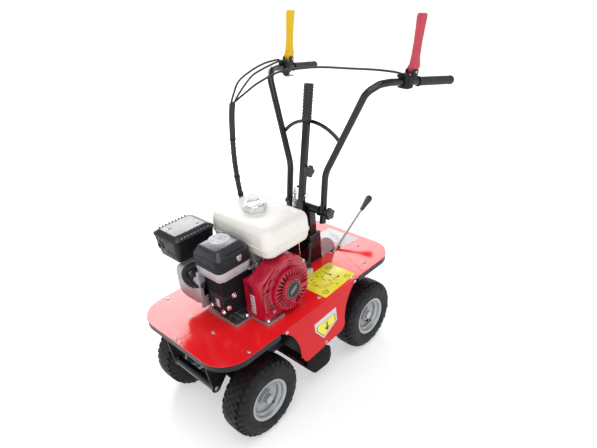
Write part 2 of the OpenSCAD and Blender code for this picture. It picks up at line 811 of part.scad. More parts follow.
sleeve_route = [[-190, 50, 1150], [-190, 38, 1095], [-190, 28, 1010], [-190, 23, 930], [-190, 24, 850],
    [-190, 30, 770], [-188, 42, 690], [-182, 60, 610], [-174, 78, 540], [-168, 90, 480], [-166, 94, 440]];
red_clutch_route = [[303, 432, 1237], [296, 420, 1241], [230, 404, 1246], [150, 360, 1252], [50, 289, 1262],
    [-40, 200, 1260], [-110, 134, 1224], [-155, 92, 1185], [-180, 60, 1158], [-186, 46, 1150]];
yellow_clutch_route = [[-303, 432, 1237], [-301, 405, 1240], [-294, 330, 1240], [-266, 229, 1232],
    [-232, 130, 1214], [-206, 76, 1180], [-197, 50, 1150]];
throttle_route = [[-296, 432, 1232], [-294, 400, 1231], [-286, 349, 1227], [-272, 285, 1222], [-256, 225, 1214],
    [-226, 150, 1192], [-200, 84, 1164], [-188, 58, 1150]];

module control_cables() at_mid() color("#141416") {
    swept_tube(sleeve_route, 8, 12, 3);
    swept_tube(red_clutch_route, 2.8, 8, 6);
    swept_tube(yellow_clutch_route, 2.8, 8, 6);
    swept_tube(throttle_route, 2.8, 8, 6);
    translate([-166, 94, deck_z]) difference() {
        cylinder(h = 9.5, r = 14);
        translate([0, 0, -1]) cylinder(h = 12, r = 7);
    }
}

frame_plates();
cross_members();
deck_aprons();
left_deck_cover();
right_deck_cover();
rear_deck_cover();
fasteners();
front_bar();
front_axle();
wheel_bearings();
front_left_rim();
front_left_tyre();
front_right_rim();
front_right_tyre();
rear_axle();
rear_rims();
rear_tyres();
rear_sprocket();
crankcase();
cylinder_block();
cylinder_head();
fan_cover();
recoil_starter();
starter_grip();
muffler();
air_cleaner_base();
air_cleaner_cover();
carburettor();
choke_lever();
fuel_tank();
fuel_cap();
crankshaft();
flywheel_fan();
engine_pulley();
belt_guard();
drive_belt();
cutter_belt();
gearbox();
gearbox_pulley();
output_sprocket();
drive_chain();
column();
depth_lever();
depth_grip();
lever_knob();
depth_link();
balance_spring();
cutter_carrier();
eccentric_shaft();
blade();
handlebar();
handlebar_grips();
bar_knob();
lever_housings();
red_lever();
yellow_lever();
throttle_lever();
gear_lever();
gear_gate();
control_cables();
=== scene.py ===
"""Walk-behind turf cutter: looks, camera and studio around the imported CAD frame.

Lengths are given in millimetres from mid-wheelbase, as in the CAD, and at() turns them into the row frame.
+X is the machine's left side, +Y points back to the operator and +Z is up.
"""

import math

import bmesh
import bpy
from mathutils import Matrix, Quaternion, Vector


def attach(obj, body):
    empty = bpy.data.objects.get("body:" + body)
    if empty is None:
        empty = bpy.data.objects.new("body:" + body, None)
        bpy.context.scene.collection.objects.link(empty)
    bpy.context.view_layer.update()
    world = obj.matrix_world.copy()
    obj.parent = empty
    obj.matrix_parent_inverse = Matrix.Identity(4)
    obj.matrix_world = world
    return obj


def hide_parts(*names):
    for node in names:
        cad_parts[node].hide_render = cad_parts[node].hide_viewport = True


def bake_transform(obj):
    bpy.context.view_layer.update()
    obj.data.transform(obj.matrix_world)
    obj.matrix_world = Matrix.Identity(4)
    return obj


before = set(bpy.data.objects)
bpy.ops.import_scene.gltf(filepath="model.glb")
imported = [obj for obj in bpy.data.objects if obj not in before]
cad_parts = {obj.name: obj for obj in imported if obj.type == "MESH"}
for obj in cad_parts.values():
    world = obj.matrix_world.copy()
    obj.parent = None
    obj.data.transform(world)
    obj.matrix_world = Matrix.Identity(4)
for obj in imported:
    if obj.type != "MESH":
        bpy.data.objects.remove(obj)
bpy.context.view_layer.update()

MM = 0.001
MID_Y = -117.7  # mid-wheelbase in the row frame, mm
AXLE_Y = 320
AXLE_Z = 160
TRACK_HALF = 214
DECK_Z = 430
CRANK = (-110, 537)  # y, z of the crankshaft
BAR_PIVOT = (225, 687)
LEVER_PIVOT = (176, 590)
LEVER_LEAN = math.radians(10.7)
GRIP_BEND = Vector((303, 400, 1207))
GRIP_YAW = math.radians(11)
GRIP_PITCH = math.radians(9)
SQUEEZE_PIN = Vector((0, 112, 37))
GEAR_PIVOT = Vector((56, 300, 405))
GEAR_RISE = math.radians(31)


# ---------- places and frames ----------


def shift(x=0.0, y=0.0, z=0.0):
    """Matrix that moves by millimetres."""
    return Matrix.Translation((x, y, z))


def turn(degrees, axis):
    """Matrix that turns about an axis."""
    return Matrix.Rotation(math.radians(degrees), 4, axis)


ROW = Matrix.Diagonal((MM, MM, MM, 1)) @ Matrix.Translation((0, MID_Y, 0))  # mm to the row frame
HERE = Matrix.Identity(4)
MIRROR = Matrix.Diagonal((-1, 1, 1, 1))
BOTH = (HERE, MIRROR)
SIDES = (("left", HERE), ("right", MIRROR))
FACING_X = Matrix(((0, 0, 1, 0), (1, 0, 0, 0), (0, 1, 0, 0), (0, 0, 0, 1)))  # drawn (y, z), thick along x
FACING_BACK = Matrix(((1, 0, 0, 0), (0, 0, -1, 0), (0, 1, 0, 0), (0, 0, 0, 1)))  # drawn (x, z), thick to -y
ALONG_Y = turn(-90, "X")  # a lathe's axis laid along +y
ALONG_X = turn(90, "Y")  # a lathe's axis laid along +x
GRIP_FRAME = (Matrix.Translation(GRIP_BEND) @ Matrix.Rotation(-GRIP_YAW, 4, "Z")
              @ Matrix.Rotation(-GRIP_PITCH, 4, "X"))
PIN_PLACE = GRIP_FRAME @ SQUEEZE_PIN
SQUEEZE_FRAME = Matrix.Translation(PIN_PLACE) @ Matrix.Rotation(-GRIP_YAW, 4, "Z")
DEPTH_FRAME = shift(0, *LEVER_PIVOT) @ Matrix.Rotation(-LEVER_LEAN, 4, "X")
GEAR_FRAME = Matrix.Translation(GEAR_PIVOT) @ Matrix.Rotation(GEAR_RISE, 4, "X")


def at(x, y, z):
    """A point in millimetres, in the row frame."""
    return ROW @ Vector((x, y, z))


# ---------- outlines, all lists of 2-D points ----------


def arc(cx, cy, r, start, stop, steps=12):
    """Points on an arc, angles in degrees."""
    angles = [math.radians(start + (stop - start) * k / steps) for k in range(steps + 1)]
    return [(cx + r * math.cos(a), cy + r * math.sin(a)) for a in angles]


def circle(cx, cy, r, steps=48):
    """A closed round outline."""
    return arc(cx, cy, r, 0, 360, steps)[:-1]


def soft_corners(points, radius, steps=5):
    """Rounds each corner of a closed outline. radius is one number or one for each corner."""
    n = len(points)
    radii = radius if isinstance(radius, (list, tuple)) else [radius] * n
    out = []
    for i, p in enumerate(points):
        p = Vector(p)
        back = (Vector(points[i - 1]) - p).normalized()
        ahead = (Vector(points[(i + 1) % n]) - p).normalized()
        half = back.angle(ahead) / 2
        if radii[i] <= 0 or half > math.radians(88):
            out.append(tuple(p))
            continue
        reach = radii[i] / math.tan(half)
        centre = p + (back + ahead).normalized() * (radii[i] / math.sin(half))
        first = p + back * reach - centre
        last = p + ahead * reach - centre
        sweep = first.angle_signed(last)
        for k in range(steps + 1):
            t = -sweep * k / steps
            c, s = math.cos(t), math.sin(t)
            out.append((centre.x + c * first.x - s * first.y, centre.y + s * first.x + c * first.y))
    return out


def box_outline(x0, x1, y0, y1, r=0.0, steps=6):
    """A rectangle with round corners."""
    return soft_corners([(x0, y0), (x1, y0), (x1, y1), (x0, y1)], r, steps)


def slot_outline(cx, cy, length, width, degrees=0.0):
    """A long slot with round ends, centred at (cx, cy)."""
    r = width / 2
    reach = length / 2 - r
    ends = arc(reach, 0, r, -90, 90, 6) + arc(-reach, 0, r, 90, 270, 6)
    c, s = math.cos(math.radians(degrees)), math.sin(math.radians(degrees))
    return [(cx + c * x - s * y, cy + s * x + c * y) for x, y in ends]


# ---------- meshes ----------


def finish_piece(name, mesh, mat, body, replaces=(), sharp=32):
    """Names and shades a piece and ties it to its body. mesh and mat may be lists; sharp is in degrees."""
    if isinstance(mesh, list):
        mesh = joined(mesh)
    mesh.materials.clear()
    for m in mat if isinstance(mat, list) else [mat]:
        mesh.materials.append(m)
    for p in mesh.polygons:
        p.use_smooth = True
    mesh.set_sharp_from_angle(angle=math.radians(sharp))
    obj = bpy.data.objects.new(name, mesh)
    bpy.context.scene.collection.objects.link(obj)
    if body:
        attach(obj, body)
    if replaces:
        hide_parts(*replaces)
    return obj


def joined(meshes):
    """One mesh from several."""
    bm = bmesh.new()
    for m in meshes:
        bm.from_mesh(m)
        bpy.data.meshes.remove(m)
    out = bpy.data.meshes.new("joined")
    bm.to_mesh(out)
    bm.free()
    return out


def outward_mesh(bm):
    """A mesh from the bmesh, with its faces turned outward."""
    bmesh.ops.recalc_face_normals(bm, faces=bm.faces)
    mesh = bpy.data.meshes.new("piece")
    bm.to_mesh(mesh)
    bm.free()
    return mesh


def placed(mesh, matrix):
    """Moves a mesh drawn in millimetres to its place in the row frame."""
    full = ROW @ matrix
    mesh.transform(full)
    if full.determinant() < 0:
        mesh.flip_normals()
    return mesh


def with_index(mesh, index):
    """Gives all faces one material slot."""
    for p in mesh.polygons:
        p.material_index = index
    return mesh


def plate(loops, w0, w1, matrix, bevel=0.8, rounds=3):
    """A plate with rounded edges from w0 to w1. loops are its outer outlines and its holes."""
    curve = bpy.data.curves.new("plate", "CURVE")
    curve.dimensions = "2D"
    curve.fill_mode = "BOTH"
    for loop in loops:
        spline = curve.splines.new("POLY")
        spline.points.add(len(loop) - 1)
        for p, (u, v) in zip(spline.points, loop):
            p.co = (u, v, 0, 1)
        spline.use_cyclic_u = True
    bevel = min(bevel, (w1 - w0) / 2 - 0.01)
    curve.extrude = (w1 - w0) / 2 - bevel
    curve.bevel_depth = bevel
    curve.bevel_resolution = rounds
    curve.offset = -bevel
    obj = bpy.data.objects.new("plate", curve)
    bpy.context.scene.collection.objects.link(obj)
    bpy.context.view_layer.update()
    mesh = bpy.data.meshes.new_from_object(obj.evaluated_get(bpy.context.evaluated_depsgraph_get()))
    bpy.data.objects.remove(obj)
    bpy.data.curves.remove(curve)
    bm = bmesh.new()
    bm.from_mesh(mesh)
    bmesh.ops.remove_doubles(bm, verts=bm.verts, dist=0.001)
    bmesh.ops.recalc_face_normals(bm, faces=bm.faces)
    bm.to_mesh(mesh)
    bm.free()
    return placed(mesh, matrix @ shift(0, 0, (w0 + w1) / 2))


def box(x0, x1, y0, y1, z0, z1, plan=0.0, edge=1.0, matrix=HERE):
    """An upright block with round plan corners and round top and bottom edges."""
    return plate([box_outline(x0, x1, y0, y1, plan)], z0, z1, matrix, edge)


def lathe(profile, matrix, steps=64, closed=False):
    """Turns (radius, height) points round the z axis."""
    bm = bmesh.new()
    rings = []
    for r, z in profile:
        if r < 1e-6:
            rings.append([bm.verts.new((0, 0, z))])
            continue
        rings.append([bm.verts.new((x, y, z)) for x, y in circle(0, 0, r, steps)])
    pairs = list(zip(rings, rings[1:])) + ([(rings[-1], rings[0])] if closed else [])
    for low, high in pairs:
        for k in range(steps):
            n = (k + 1) % steps
            corners = [low[k % len(low)], low[n % len(low)], high[n % len(high)], high[k % len(high)]]
            unique = list(dict.fromkeys(corners))
            if len(unique) > 2:
                bm.faces.new(unique)
    for ring in [] if closed else [rings[0], rings[-1]]:
        if len(ring) > 1:
            bm.faces.new(ring)
    return placed(outward_mesh(bm), matrix)


def turned(profile, radius, matrix, steps=64, closed=False, fine=4):
    """A lathe piece whose profile has rounded corners."""
    return lathe(rounded_profile(profile, radius, fine), matrix, steps, closed)


def round_bar(r, low, high, matrix, steps, edge=0.0):
    """A solid round bar along the local z axis."""
    profile = [(0, low), (r, low), (r, high), (0, high)]
    return turned(profile, edge, matrix, steps) if edge else lathe(profile, matrix, steps)


def round_collar(r0, r1, low, high, matrix, steps, edge):
    """A round collar along the local z axis, with a bore of radius r0."""
    return turned([(r0, low), (r1, low), (r1, high), (r0, high)], edge, matrix, steps, closed=True)


def loft(rings):
    """Skins closed rings of 3-D points that all have the same number of points, and closes both ends."""
    bm = bmesh.new()
    made = [[bm.verts.new(p) for p in ring] for ring in rings]
    for low, high in zip(made, made[1:]):
        for k in range(len(low)):
            n = (k + 1) % len(low)
            bm.faces.new((low[k], low[n], high[n], high[k]))
    bm.faces.new(made[0])
    bm.faces.new(made[-1])
    bmesh.ops.remove_doubles(bm, verts=bm.verts, dist=0.001)
    return placed(outward_mesh(bm), HERE)


def crowned_box(x0, x1, y0, y1, levels, steps=8):
    """A moulded box: each level is (z, inset, corner radius) of its outline."""
    rings = []
    for z, inset, r in levels:
        outline = box_outline(x0 + inset, x1 - inset, y0 + inset, y1 - inset, r, steps)
        rings.append([(x, y, z) for x, y in outline])
    return loft(rings)


def rounded_profile(points, radius, steps=4):
    """A lathe profile whose inner corners are rounded. The first and last points stay."""
    out = [points[0]]
    for a, p, b in zip(points, points[1:], points[2:]):
        p = Vector(p)
        back, ahead = Vector(a) - p, Vector(b) - p
        r = min(radius, back.length * 0.45, ahead.length * 0.45)
        start, end = p + back.normalized() * r, p + ahead.normalized() * r
        for k in range(steps + 1):
            t = k / steps
            q = start * (1 - t) ** 2 + p * 2 * t * (1 - t) + end * t * t
            out.append((q.x, q.y))
    return out + [points[-1]]


def smooth_path(points, steps=8):
    """Catmull-Rom curve through the points."""
    pts = [Vector(p) for p in points]
    out = []
    for i in range(len(pts) - 1):
        a, b, c, d = pts[max(i - 1, 0)], pts[i], pts[i + 1], pts[min(i + 2, len(pts) - 1)]
        for k in range(steps):
            t = k / steps
            out.append(0.5 * (2 * b + (c - a) * t + (2 * a - 5 * b + 4 * c - d) * t ** 2
                              + (3 * b - a - 3 * c + d) * t ** 3))
    return out + [pts[-1]]


def bent_path(points, radii, steps=8):
    """Straight legs joined by round bends, as a tube is bent."""
    pts = [Vector(p) for p in points]
    out = [pts[0]]
    for i in range(1, len(pts) - 1):
        back = (pts[i - 1] - pts[i]).normalized()
        ahead = (pts[i + 1] - pts[i]).normalized()
        half = back.angle(ahead) / 2
        reach = radii[i - 1] / math.tan(half)
        centre = pts[i] + (back + ahead).normalized() * (radii[i - 1] / math.sin(half))
        first = pts[i] + back * reach - centre
        last = pts[i] + ahead * reach - centre
        axis = first.cross(last).normalized()
        sweep_angle = first.angle(last)
        for k in range(steps + 1):
            out.append(centre + Matrix.Rotation(sweep_angle * k / steps, 3, axis) @ first)
    return out + [pts[-1]]


def sweep(path, radius, sides=20, flat=1.0, matrix=HERE):
    """A tube along a path. radius is a number or a function of the share of the way along."""
    pts = [Vector(p) for p in path]
    size = radius if callable(radius) else lambda t: radius
    lengths = [0.0]
    for a, b in zip(pts, pts[1:]):
        lengths.append(lengths[-1] + (b - a).length)
    bm = bmesh.new()
    side = None
    rings = []
    for i, p in enumerate(pts):
        ahead = (pts[min(i + 1, len(pts) - 1)] - pts[max(i - 1, 0)]).normalized()
        if side is None:
            side = ahead.cross(Vector((1, 0, 0)) if abs(ahead.x) < 0.9 else Vector((0, 1, 0))).normalized()
        side = (side - ahead * side.dot(ahead)).normalized()
        other = ahead.cross(side)
        r = size(lengths[i] / lengths[-1])
        ring = []
        for k in range(sides):
            a = 2 * math.pi * k / sides
            ring.append(bm.verts.new(p + side * (r * math.cos(a)) + other * (r * flat * math.sin(a))))
        rings.append(ring)
    for low, high in zip(rings, rings[1:]):
        for k in range(sides):
            n = (k + 1) % sides
            bm.faces.new((low[k], low[n], high[n], high[k]))
    bm.faces.new(rings[0])
    bm.faces.new(rings[-1])
    return placed(outward_mesh(bm), matrix)


def screw(matrix, head=7.0, high=4.0, kind="dome"):
    """A screw or bolt head standing on the local xy plane."""
    if kind == "hex":
        body = plate([arc(0, 0, head, 0, 360, 6)[:-1]], 0, high, matrix, 0.6, 2)
        washer = round_bar(head * 1.35, -0.2, 0.8, matrix, 32)
        return joined([body, washer])
    dome = lathe([(head, -0.2), (head, 0.4), (head * 0.92, high * 0.55), (head * 0.72, high * 0.85),
                  (head * 0.45, high), (head * 0.36, high), (head * 0.34, high * 0.55), (0, high * 0.5)],
                 matrix, 28)
    return dome


# ---------- materials ----------


def material(name, color, rough, metal=0.0, coat=0.0, coat_rough=0.06, tint=0.12, tint_scale=9.0,
             rough_vary=0.08, grain=900.0, relief=40, edge=0.5, pattern="noise", stretch=(1, 1, 1),
             specular=0.5, streak=38.0, alpha=1.0, second=None):
    """A procedural surface: drifting colour, uneven roughness and a fine grain.

    relief is the grain's depth in micrometres, edge the rounding of sharp edges in millimetres, second the
    colour that the first one drifts to.
    """
    mat = bpy.data.materials.new(name)
    mat.use_nodes = True
    nodes, links = mat.node_tree.nodes, mat.node_tree.links
    bsdf = nodes["Principled BSDF"]
    bsdf.inputs["Metallic"].default_value = metal
    bsdf.inputs["Coat Weight"].default_value = coat
    bsdf.inputs["Coat Roughness"].default_value = coat_rough
    bsdf.inputs["Specular IOR Level"].default_value = specular
    bsdf.inputs["Alpha"].default_value = alpha
    coords = nodes.new("ShaderNodeTexCoord")
    scaled = nodes.new("ShaderNodeMapping")
    scaled.inputs["Scale"].default_value = stretch
    links.new(coords.outputs["Object"], scaled.inputs["Vector"])

    drift = nodes.new("ShaderNodeTexNoise")
    drift.inputs["Scale"].default_value = tint_scale
    drift.inputs["Detail"].default_value = 5
    links.new(coords.outputs["Object"], drift.inputs["Vector"])
    ramp = nodes.new("ShaderNodeValToRGB")
    dark = [c * (1 - tint) for c in color]
    light = second or [min(1.0, c * (1 + tint)) for c in color]
    ramp.color_ramp.elements[0].position = 0.32
    ramp.color_ramp.elements[0].color = (*dark, 1)
    ramp.color_ramp.elements[1].position = 0.68
    ramp.color_ramp.elements[1].color = (*light, 1)
    links.new(drift.outputs["Fac"], ramp.inputs["Fac"])
    links.new(ramp.outputs["Color"], bsdf.inputs["Base Color"])

    smear = nodes.new("ShaderNodeTexNoise")
    smear.inputs["Scale"].default_value = streak
    smear.inputs["Detail"].default_value = 6
    links.new(scaled.outputs["Vector"], smear.inputs["Vector"])
    spread = nodes.new("ShaderNodeMapRange")
    spread.inputs["From Min"].default_value = 0.3
    spread.inputs["From Max"].default_value = 0.7
    spread.inputs["To Min"].default_value = max(0.02, rough - rough_vary)
    spread.inputs["To Max"].default_value = min(1.0, rough + rough_vary)
    links.new(smear.outputs["Fac"], spread.inputs["Value"])
    links.new(spread.outputs["Result"], bsdf.inputs["Roughness"])

    if pattern == "cells":
        grains = nodes.new("ShaderNodeTexVoronoi")
        height = grains.outputs["Distance"]
    else:
        grains = nodes.new("ShaderNodeTexNoise")
        grains.inputs["Detail"].default_value = 3
        height = grains.outputs["Fac"]
    grains.inputs["Scale"].default_value = grain
    links.new(scaled.outputs["Vector"], grains.inputs["Vector"])
    rounding = nodes.new("ShaderNodeBevel")
    rounding.samples = 4
    rounding.inputs["Radius"].default_value = edge * MM
    bump = nodes.new("ShaderNodeBump")
    bump.inputs["Strength"].default_value = 1.0
    bump.inputs["Distance"].default_value = relief * 1e-6
    links.new(height, bump.inputs["Height"])
    links.new(rounding.outputs["Normal"], bump.inputs["Normal"])
    links.new(bump.outputs["Normal"], bsdf.inputs["Normal"])
    return mat


PRINTED = {"grain": 1200, "relief": 10, "edge": 0.2}  # smooth vinyl stickers

DECK_RED = material("deck_red", (0.88, 0.014, 0.019), 0.12, tint=0.05, tint_scale=3, rough_vary=0.03,
                    grain=520, relief=8, edge=1.2, specular=0.36)
# a darker, duller copy of the deck red for the side covers' upright skirt faces: painted shade
SHADED_SKIRT_RED = material("skirt_red_painted_shade", (0.64, 0.012, 0.016), 0.24, tint=0.05, tint_scale=3, rough_vary=0.03,
                     grain=520, relief=8, edge=1.2, specular=0.14)
GLOSS_BLACK = material("gloss_black", (0.006, 0.007, 0.009), 0.22, specular=0.4, coat=0.2, coat_rough=0.05,
                       rough_vary=0.06, grain=600, relief=20)
APRON_BLACK = material("apron_black", (0.007, 0.008, 0.012), 0.34, specular=0.3, rough_vary=0.08, grain=500,
                       relief=30, edge=2)
SATIN_BLACK = material("satin_black", (0.008, 0.008, 0.010), 0.42, specular=0.3, rough_vary=0.10, grain=800,
                       edge=0.8)
BLADE_BLACK = material("blade_black", (0.006, 0.006, 0.007), 0.50, specular=0.08, rough_vary=0.10,
                       grain=800, edge=0.8)
TEXTURED_BLACK = material("textured_black", (0.007, 0.007, 0.009), 0.50, specular=0.3, rough_vary=0.10,
                          grain=1800, relief=80, edge=1)
HEAT_BLACK = material("heat_black", (0.020, 0.020, 0.023), 0.24, rough_vary=0.04, tint=0.15, grain=1400,
                      relief=20, edge=1.2)
MOULDED_DARK = material("moulded_dark", (0.024, 0.024, 0.029), 0.24, rough_vary=0.04, grain=2200, relief=40,
                        edge=1.2, specular=0.55)
RUBBER = material("tyre_rubber", (0.007, 0.0065, 0.008), 0.55, specular=0.25, tint=0.35, tint_scale=30,
                  rough_vary=0.12, grain=1500, relief=120, edge=0.6, second=(0.013, 0.012, 0.014))
SIDEWALL = material("tyre_sidewall", (0.009, 0.009, 0.011), 0.44, specular=0.3, tint=0.25, tint_scale=14,
                    rough_vary=0.10, grain=700, relief=60, edge=0.6, stretch=(0.3, 1, 1))
GRIP_RUBBER = material("grip_rubber", (0.018, 0.018, 0.019), 0.60, tint=0.25, tint_scale=60, grain=2600,
                       relief=100)
CABLE_SHEATH = material("cable_sheath", (0.012, 0.012, 0.013), 0.38, tint=0.2, grain=1600, relief=30)
RIM_SILVER = material("rim_silver", (0.40, 0.42, 0.43), 0.36, metal=0.5, coat=0.1, tint=0.06,
                      rough_vary=0.08, grain=1300, relief=40, edge=1)
CHROME = material("chrome", (0.80, 0.81, 0.83), 0.10, metal=1.0, tint=0.05, rough_vary=0.05, grain=700,
                  relief=10, edge=0.4)
ZINC = material("zinc", (0.52, 0.53, 0.55), 0.32, metal=0.95, tint=0.16, tint_scale=120, rough_vary=0.12,
                grain=500, relief=20, pattern="cells")
BRIGHT_STEEL = material("bright_steel", (0.46, 0.46, 0.47), 0.26, metal=1.0, tint=0.10, rough_vary=0.08,
                        stretch=(12, 1, 1), streak=60, grain=900, relief=30)
HUB_BLUE = material("hub_blue", (0.20, 0.24, 0.29), 0.30, metal=0.7, tint=0.1, rough_vary=0.08, grain=900)
OILED_STEEL = material("oiled_steel", (0.16, 0.155, 0.15), 0.36, metal=0.9, tint=0.35, tint_scale=70,
                       rough_vary=0.14, grain=800, relief=50, second=(0.24, 0.22, 0.20))
CAST_ALLOY = material("cast_alloy", (0.46, 0.47, 0.48), 0.42, metal=0.75, tint=0.15, rough_vary=0.10,
                      grain=1100, relief=120, edge=1.5)
CAST_IRON = material("cast_iron", (0.060, 0.062, 0.066), 0.52, metal=0.5, tint=0.3, rough_vary=0.12,
                     grain=900, relief=180, edge=1.5)
HEAD_SILVER = material("head_silver", (0.36, 0.37, 0.39), 0.36, metal=0.5, tint=0.06, rough_vary=0.06,
                       grain=800, relief=50, edge=2)
CRIMSON = material("crimson", (0.44, 0.003, 0.026), 0.26, coat=0.2, coat_rough=0.05, tint=0.08,
                   rough_vary=0.05, grain=600, relief=20, edge=1.2)
TANK_WHITE = material("tank_white", (0.80, 0.77, 0.72), 0.30, coat=0.1, coat_rough=0.12, tint=0.03,
                      tint_scale=4, rough_vary=0.05, grain=420, relief=15, edge=2)
DISC_GREY = material("disc_grey", (0.42, 0.43, 0.45), 0.38, tint=0.06, grain=1400, relief=20, edge=0.3)
CAP_WHITE = material("cap_white", (0.66, 0.66, 0.66), 0.22, metal=0.3, coat=0.3, tint=0.05, grain=900,
                     relief=20, edge=1)
# silver for the band, rope, tag and badge rings, and for the painted highlight on the muffler's near-side
# slits
SILVER_AND_HIGHLIGHT = material("silver_and_painted_highlight", (0.47, 0.47, 0.52), 0.30, metal=0.2, tint=0.05, rough_vary=0.05,
                       grain=1500, relief=30, edge=1.2)
LABEL_WHITE = material("label_white", (0.64, 0.65, 0.67), 0.40, tint=0.03, **PRINTED)
CARD_WHITE = material("card_white", (0.80, 0.80, 0.82), 0.40, tint=0.03, **PRINTED)
LABEL_YELLOW = material("label_yellow", (0.90, 0.78, 0.02), 0.30, coat=0.1, tint=0.06, **PRINTED)
# black for print, and for painted shade in the fan housing's and muffler's slots and behind the starter
PRINT_AND_SHADE_BLACK = material("print_and_painted_shade_black", (0.015, 0.015, 0.016), 0.35, tint=0.2, **PRINTED)
BADGE_DARK = material("badge_dark", (0.016, 0.006, 0.010), 0.34, specular=0.3, tint=0.2, grain=1500,
                      relief=30)
LEVER_RED = material("lever_red", (0.47, 0.036, 0.062), 0.36, tint=0.08, rough_vary=0.06, grain=1700,
                     relief=40, edge=1, specular=0.55)
LEVER_YELLOW = material("lever_yellow", (0.73, 0.45, 0.006), 0.36, tint=0.08, rough_vary=0.06, grain=1700,
                        relief=40, edge=1, specular=0.25)
GEAR_ROD = material("gear_rod", (0.36, 0.33, 0.29), 0.32, metal=0.7, tint=0.12, rough_vary=0.08, grain=900,
                    relief=20)
SMOKY = material("smoky_plastic", (0.34, 0.35, 0.37), 0.22, coat=0.4, tint=0.1, grain=700, relief=20,
                 alpha=0.72)
BELT = material("belt_rubber", (0.014, 0.014, 0.014), 0.66, tint=0.3, tint_scale=90, grain=2400, relief=100,
                stretch=(6, 1, 1))


# ---------- deck and chassis ----------

CAD_LOOKS = {"frame_plates": SATIN_BLACK, "cross_members": SATIN_BLACK, "front_axle": BRIGHT_STEEL,
             "wheel_bearings": HUB_BLUE, "rear_axle": BRIGHT_STEEL, "rear_sprocket": OILED_STEEL,
             "crankcase": CAST_ALLOY, "crankshaft": BRIGHT_STEEL, "flywheel_fan": CAST_IRON,
             "engine_pulley": CAST_IRON, "gearbox": CAST_IRON, "gearbox_pulley": CAST_IRON,
             "output_sprocket": OILED_STEEL, "cutter_carrier": SATIN_BLACK, "eccentric_shaft": BRIGHT_STEEL,
             "depth_link": SATIN_BLACK, "deck_aprons": APRON_BLACK, "left_deck_cover": DECK_RED,
             "right_deck_cover": DECK_RED, "rear_deck_cover": DECK_RED, "gear_gate": SMOKY,
             "drive_belt": BELT, "cutter_belt": BELT, "choke_lever": ZINC}


def dress_cad_nodes():
    """Nodes whose shape is right keep it and get their material."""
    for node, mat in CAD_LOOKS.items():
        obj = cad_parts[node]
        obj.data.materials.clear()
        obj.data.materials.append(mat)
        # faces that point sideways get the darker skirt red: painted shade on the folded-down skirts
        skirted = node in ("left_deck_cover", "right_deck_cover")
        if skirted:
            obj.data.materials.append(SHADED_SKIRT_RED)
        for p in obj.data.polygons:
            p.use_smooth = True
            p.material_index = int(skirted and abs(p.normal.x) > 0.7)
        obj.data.set_sharp_from_angle(angle=math.radians(30))


DECK_SCREWS = [(14, -500), (70, -388), (252, -373), (240, 16), (262, 203), (120, 430), (230, 330)]
SKIRT_SCREWS = [(-205, 414), (8, 224), (206, 418)]


def make_fasteners():
    """Screws in the deck and skirts, and the front bar's bolts."""
    parts = []
    for x, y in DECK_SCREWS:
        for side in (1, -1):
            parts.append(screw(shift(side * x, y, DECK_Z), 8.2, 3.5))
    for y, z in SKIRT_SCREWS:
        parts.append(screw(shift(273, y, z) @ ALONG_X, 7.5, 3.5))
        parts.append(screw(MIRROR @ shift(273, y, z) @ ALONG_X, 7.5, 3.5))
    for mirror in BOTH:
        parts.append(screw(mirror @ shift(125, -450, 231) @ ALONG_X, 9.5, 6, "hex"))
    finish_piece("deck_screws", parts, ZINC, "chassis", ["fasteners"])


def make_front_bar():
    """Round cross bar between the frame plates, with a weld collar at each end."""
    end = [(0, -119), (15.5, -119), (17, -117.5), (17, 117.5), (15.5, 119), (0, 119)]
    parts = [lathe(end, shift(0, -450, 231) @ ALONG_X, 48)]
    for mirror in BOTH:
        parts.append(lathe([(17, 112), (18.5, 114), (20.5, 118.9), (17, 118.9)],
                           mirror @ shift(0, -450, 231) @ ALONG_X, 48, closed=True))
    finish_piece("front_cross_bar", parts, GLOSS_BLACK, "chassis", ["front_bar"])


def label(name, loops, w0, w1, matrix, mat):
    """A sticker on the chassis."""
    finish_piece(name, plate(loops, w0, w1, matrix, 0.04, 1), mat, "chassis")


